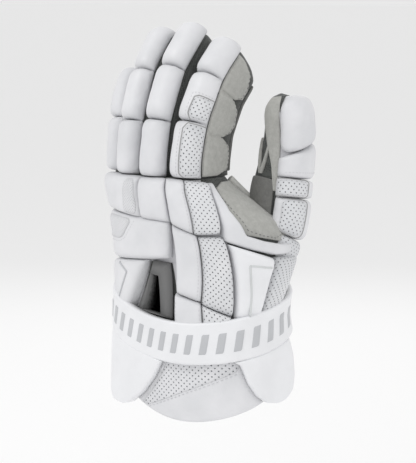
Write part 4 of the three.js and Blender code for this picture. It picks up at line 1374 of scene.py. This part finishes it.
MM_PER_DEGREE = 0.95
TONGUE_LEFT = [(-18, -0.86), (-9, -0.74), (0, -0.58), (7, -0.42), (8, -0.36)]
TONGUE_RIGHT = [(-12, -0.88), (12, -0.76), (36, -0.63), (60, -0.49), (66, -0.34)]
panel("tongue_perforated", tongue_surface, TONGUE_LEFT, TONGUE_RIGHT, "fine_grey", nx=40, ny=40,
      edge=0.4, fullness=16, sink=-1.5,
      uv_at=lambda u, v: (u * MM_PER_DEGREE, v * CUFF_LENGTH))
tongue_line = [(u + 1.5, v - 0.012) for u, v in TONGUE_RIGHT[:-1]]
stitches("tongue_stitches", [edge_line(tongue_surface, tongue_line, 0.5)], "thread", length=2.2, gap=1.3,
         radius=0.26)
tell("Tongue")

# %% [markdown]
# ## Stage, lights and camera
# The photograph is a shop picture: a white ground, soft light from all round, and a longer lens.
# One strong lamp would give hard shadows that it doesn't have. A bright world gives the even light here,
# and three large lamps shape the pads a little.

# %% Stage
FLOOR_DROP = 0.12
FLOOR_HALF = 60


def stage():
    mesh = bpy.data.meshes.new("floor")
    work = bmesh.new()
    middle = Matrix.Translation((0, 0, cad_box[0][2] - FLOOR_DROP))
    bmesh.ops.create_grid(work, x_segments=1, y_segments=1, size=FLOOR_HALF, matrix=middle)
    work.to_mesh(mesh)
    work.free()
    floor = bpy.data.objects.new("floor", mesh)
    bpy.context.collection.objects.link(floor)
    mesh.materials.append(new_material("floor", (0.97, 0.97, 0.97), 0.9)[0])


def area_light(name, place, aim, size, power):
    light = bpy.data.lights.new(name, "AREA")
    light.energy, light.size = power, size
    lamp = bpy.data.objects.new(name, light)
    lamp.location = place
    lamp.rotation_euler = (Vector(aim) - Vector(place)).to_track_quat("-Z", "Y").to_euler()
    bpy.context.collection.objects.link(lamp)


def lights():
    world = bpy.data.worlds.new("studio")
    bpy.context.scene.world = world
    world.use_nodes = True
    world.node_tree.nodes["Background"].inputs["Color"].default_value = (1, 1, 1, 1)
    world.node_tree.nodes["Background"].inputs["Strength"].default_value = 0.82
    aim = (0, 0, 0.07)
    area_light("key", (-0.35, -0.9, 1.2), aim, 0.5, 5)
    area_light("side", (1.2, -0.1, 0.6), aim, 0.6, 1.5)
    area_light("back", (-0.7, 1.0, 0.7), aim, 0.8, 1.5)


# The photograph is 416 by 463 pixels, and a pixel is 0.77 mm on the glove.
CAMERA_AZIMUTH = 38
CAMERA_RISE = 7
CAMERA_DISTANCE = 1.5
PIXEL = 0.77 * MM
PHOTO = (416, 463)
ORIGIN_PIXEL = (201, 310)


def camera():
    a, e = math.radians(CAMERA_AZIMUTH), math.radians(CAMERA_RISE)
    back = Vector((math.sin(a) * math.cos(e), -math.cos(a) * math.cos(e), math.sin(e)))
    right = Vector((math.cos(a), math.sin(a), 0))
    up = back.cross(right)
    aim = right * ((PHOTO[0] / 2 - ORIGIN_PIXEL[0]) * PIXEL) + up * ((ORIGIN_PIXEL[1] - PHOTO[1] / 2) * PIXEL)
    data = bpy.data.cameras.new("camera")
    data.sensor_fit = "VERTICAL"
    data.sensor_height = 24
    data.lens = 24 * CAMERA_DISTANCE / (PHOTO[1] * PIXEL)
    item = bpy.data.objects.new("camera", data)
    item.location = aim + back * CAMERA_DISTANCE
    item.rotation_euler = back.to_track_quat("Z", "Y").to_euler()
    bpy.context.collection.objects.link(item)
    bpy.context.scene.camera = item
    bpy.context.scene.view_settings.view_transform = "Standard"


stage()
lights()
camera()
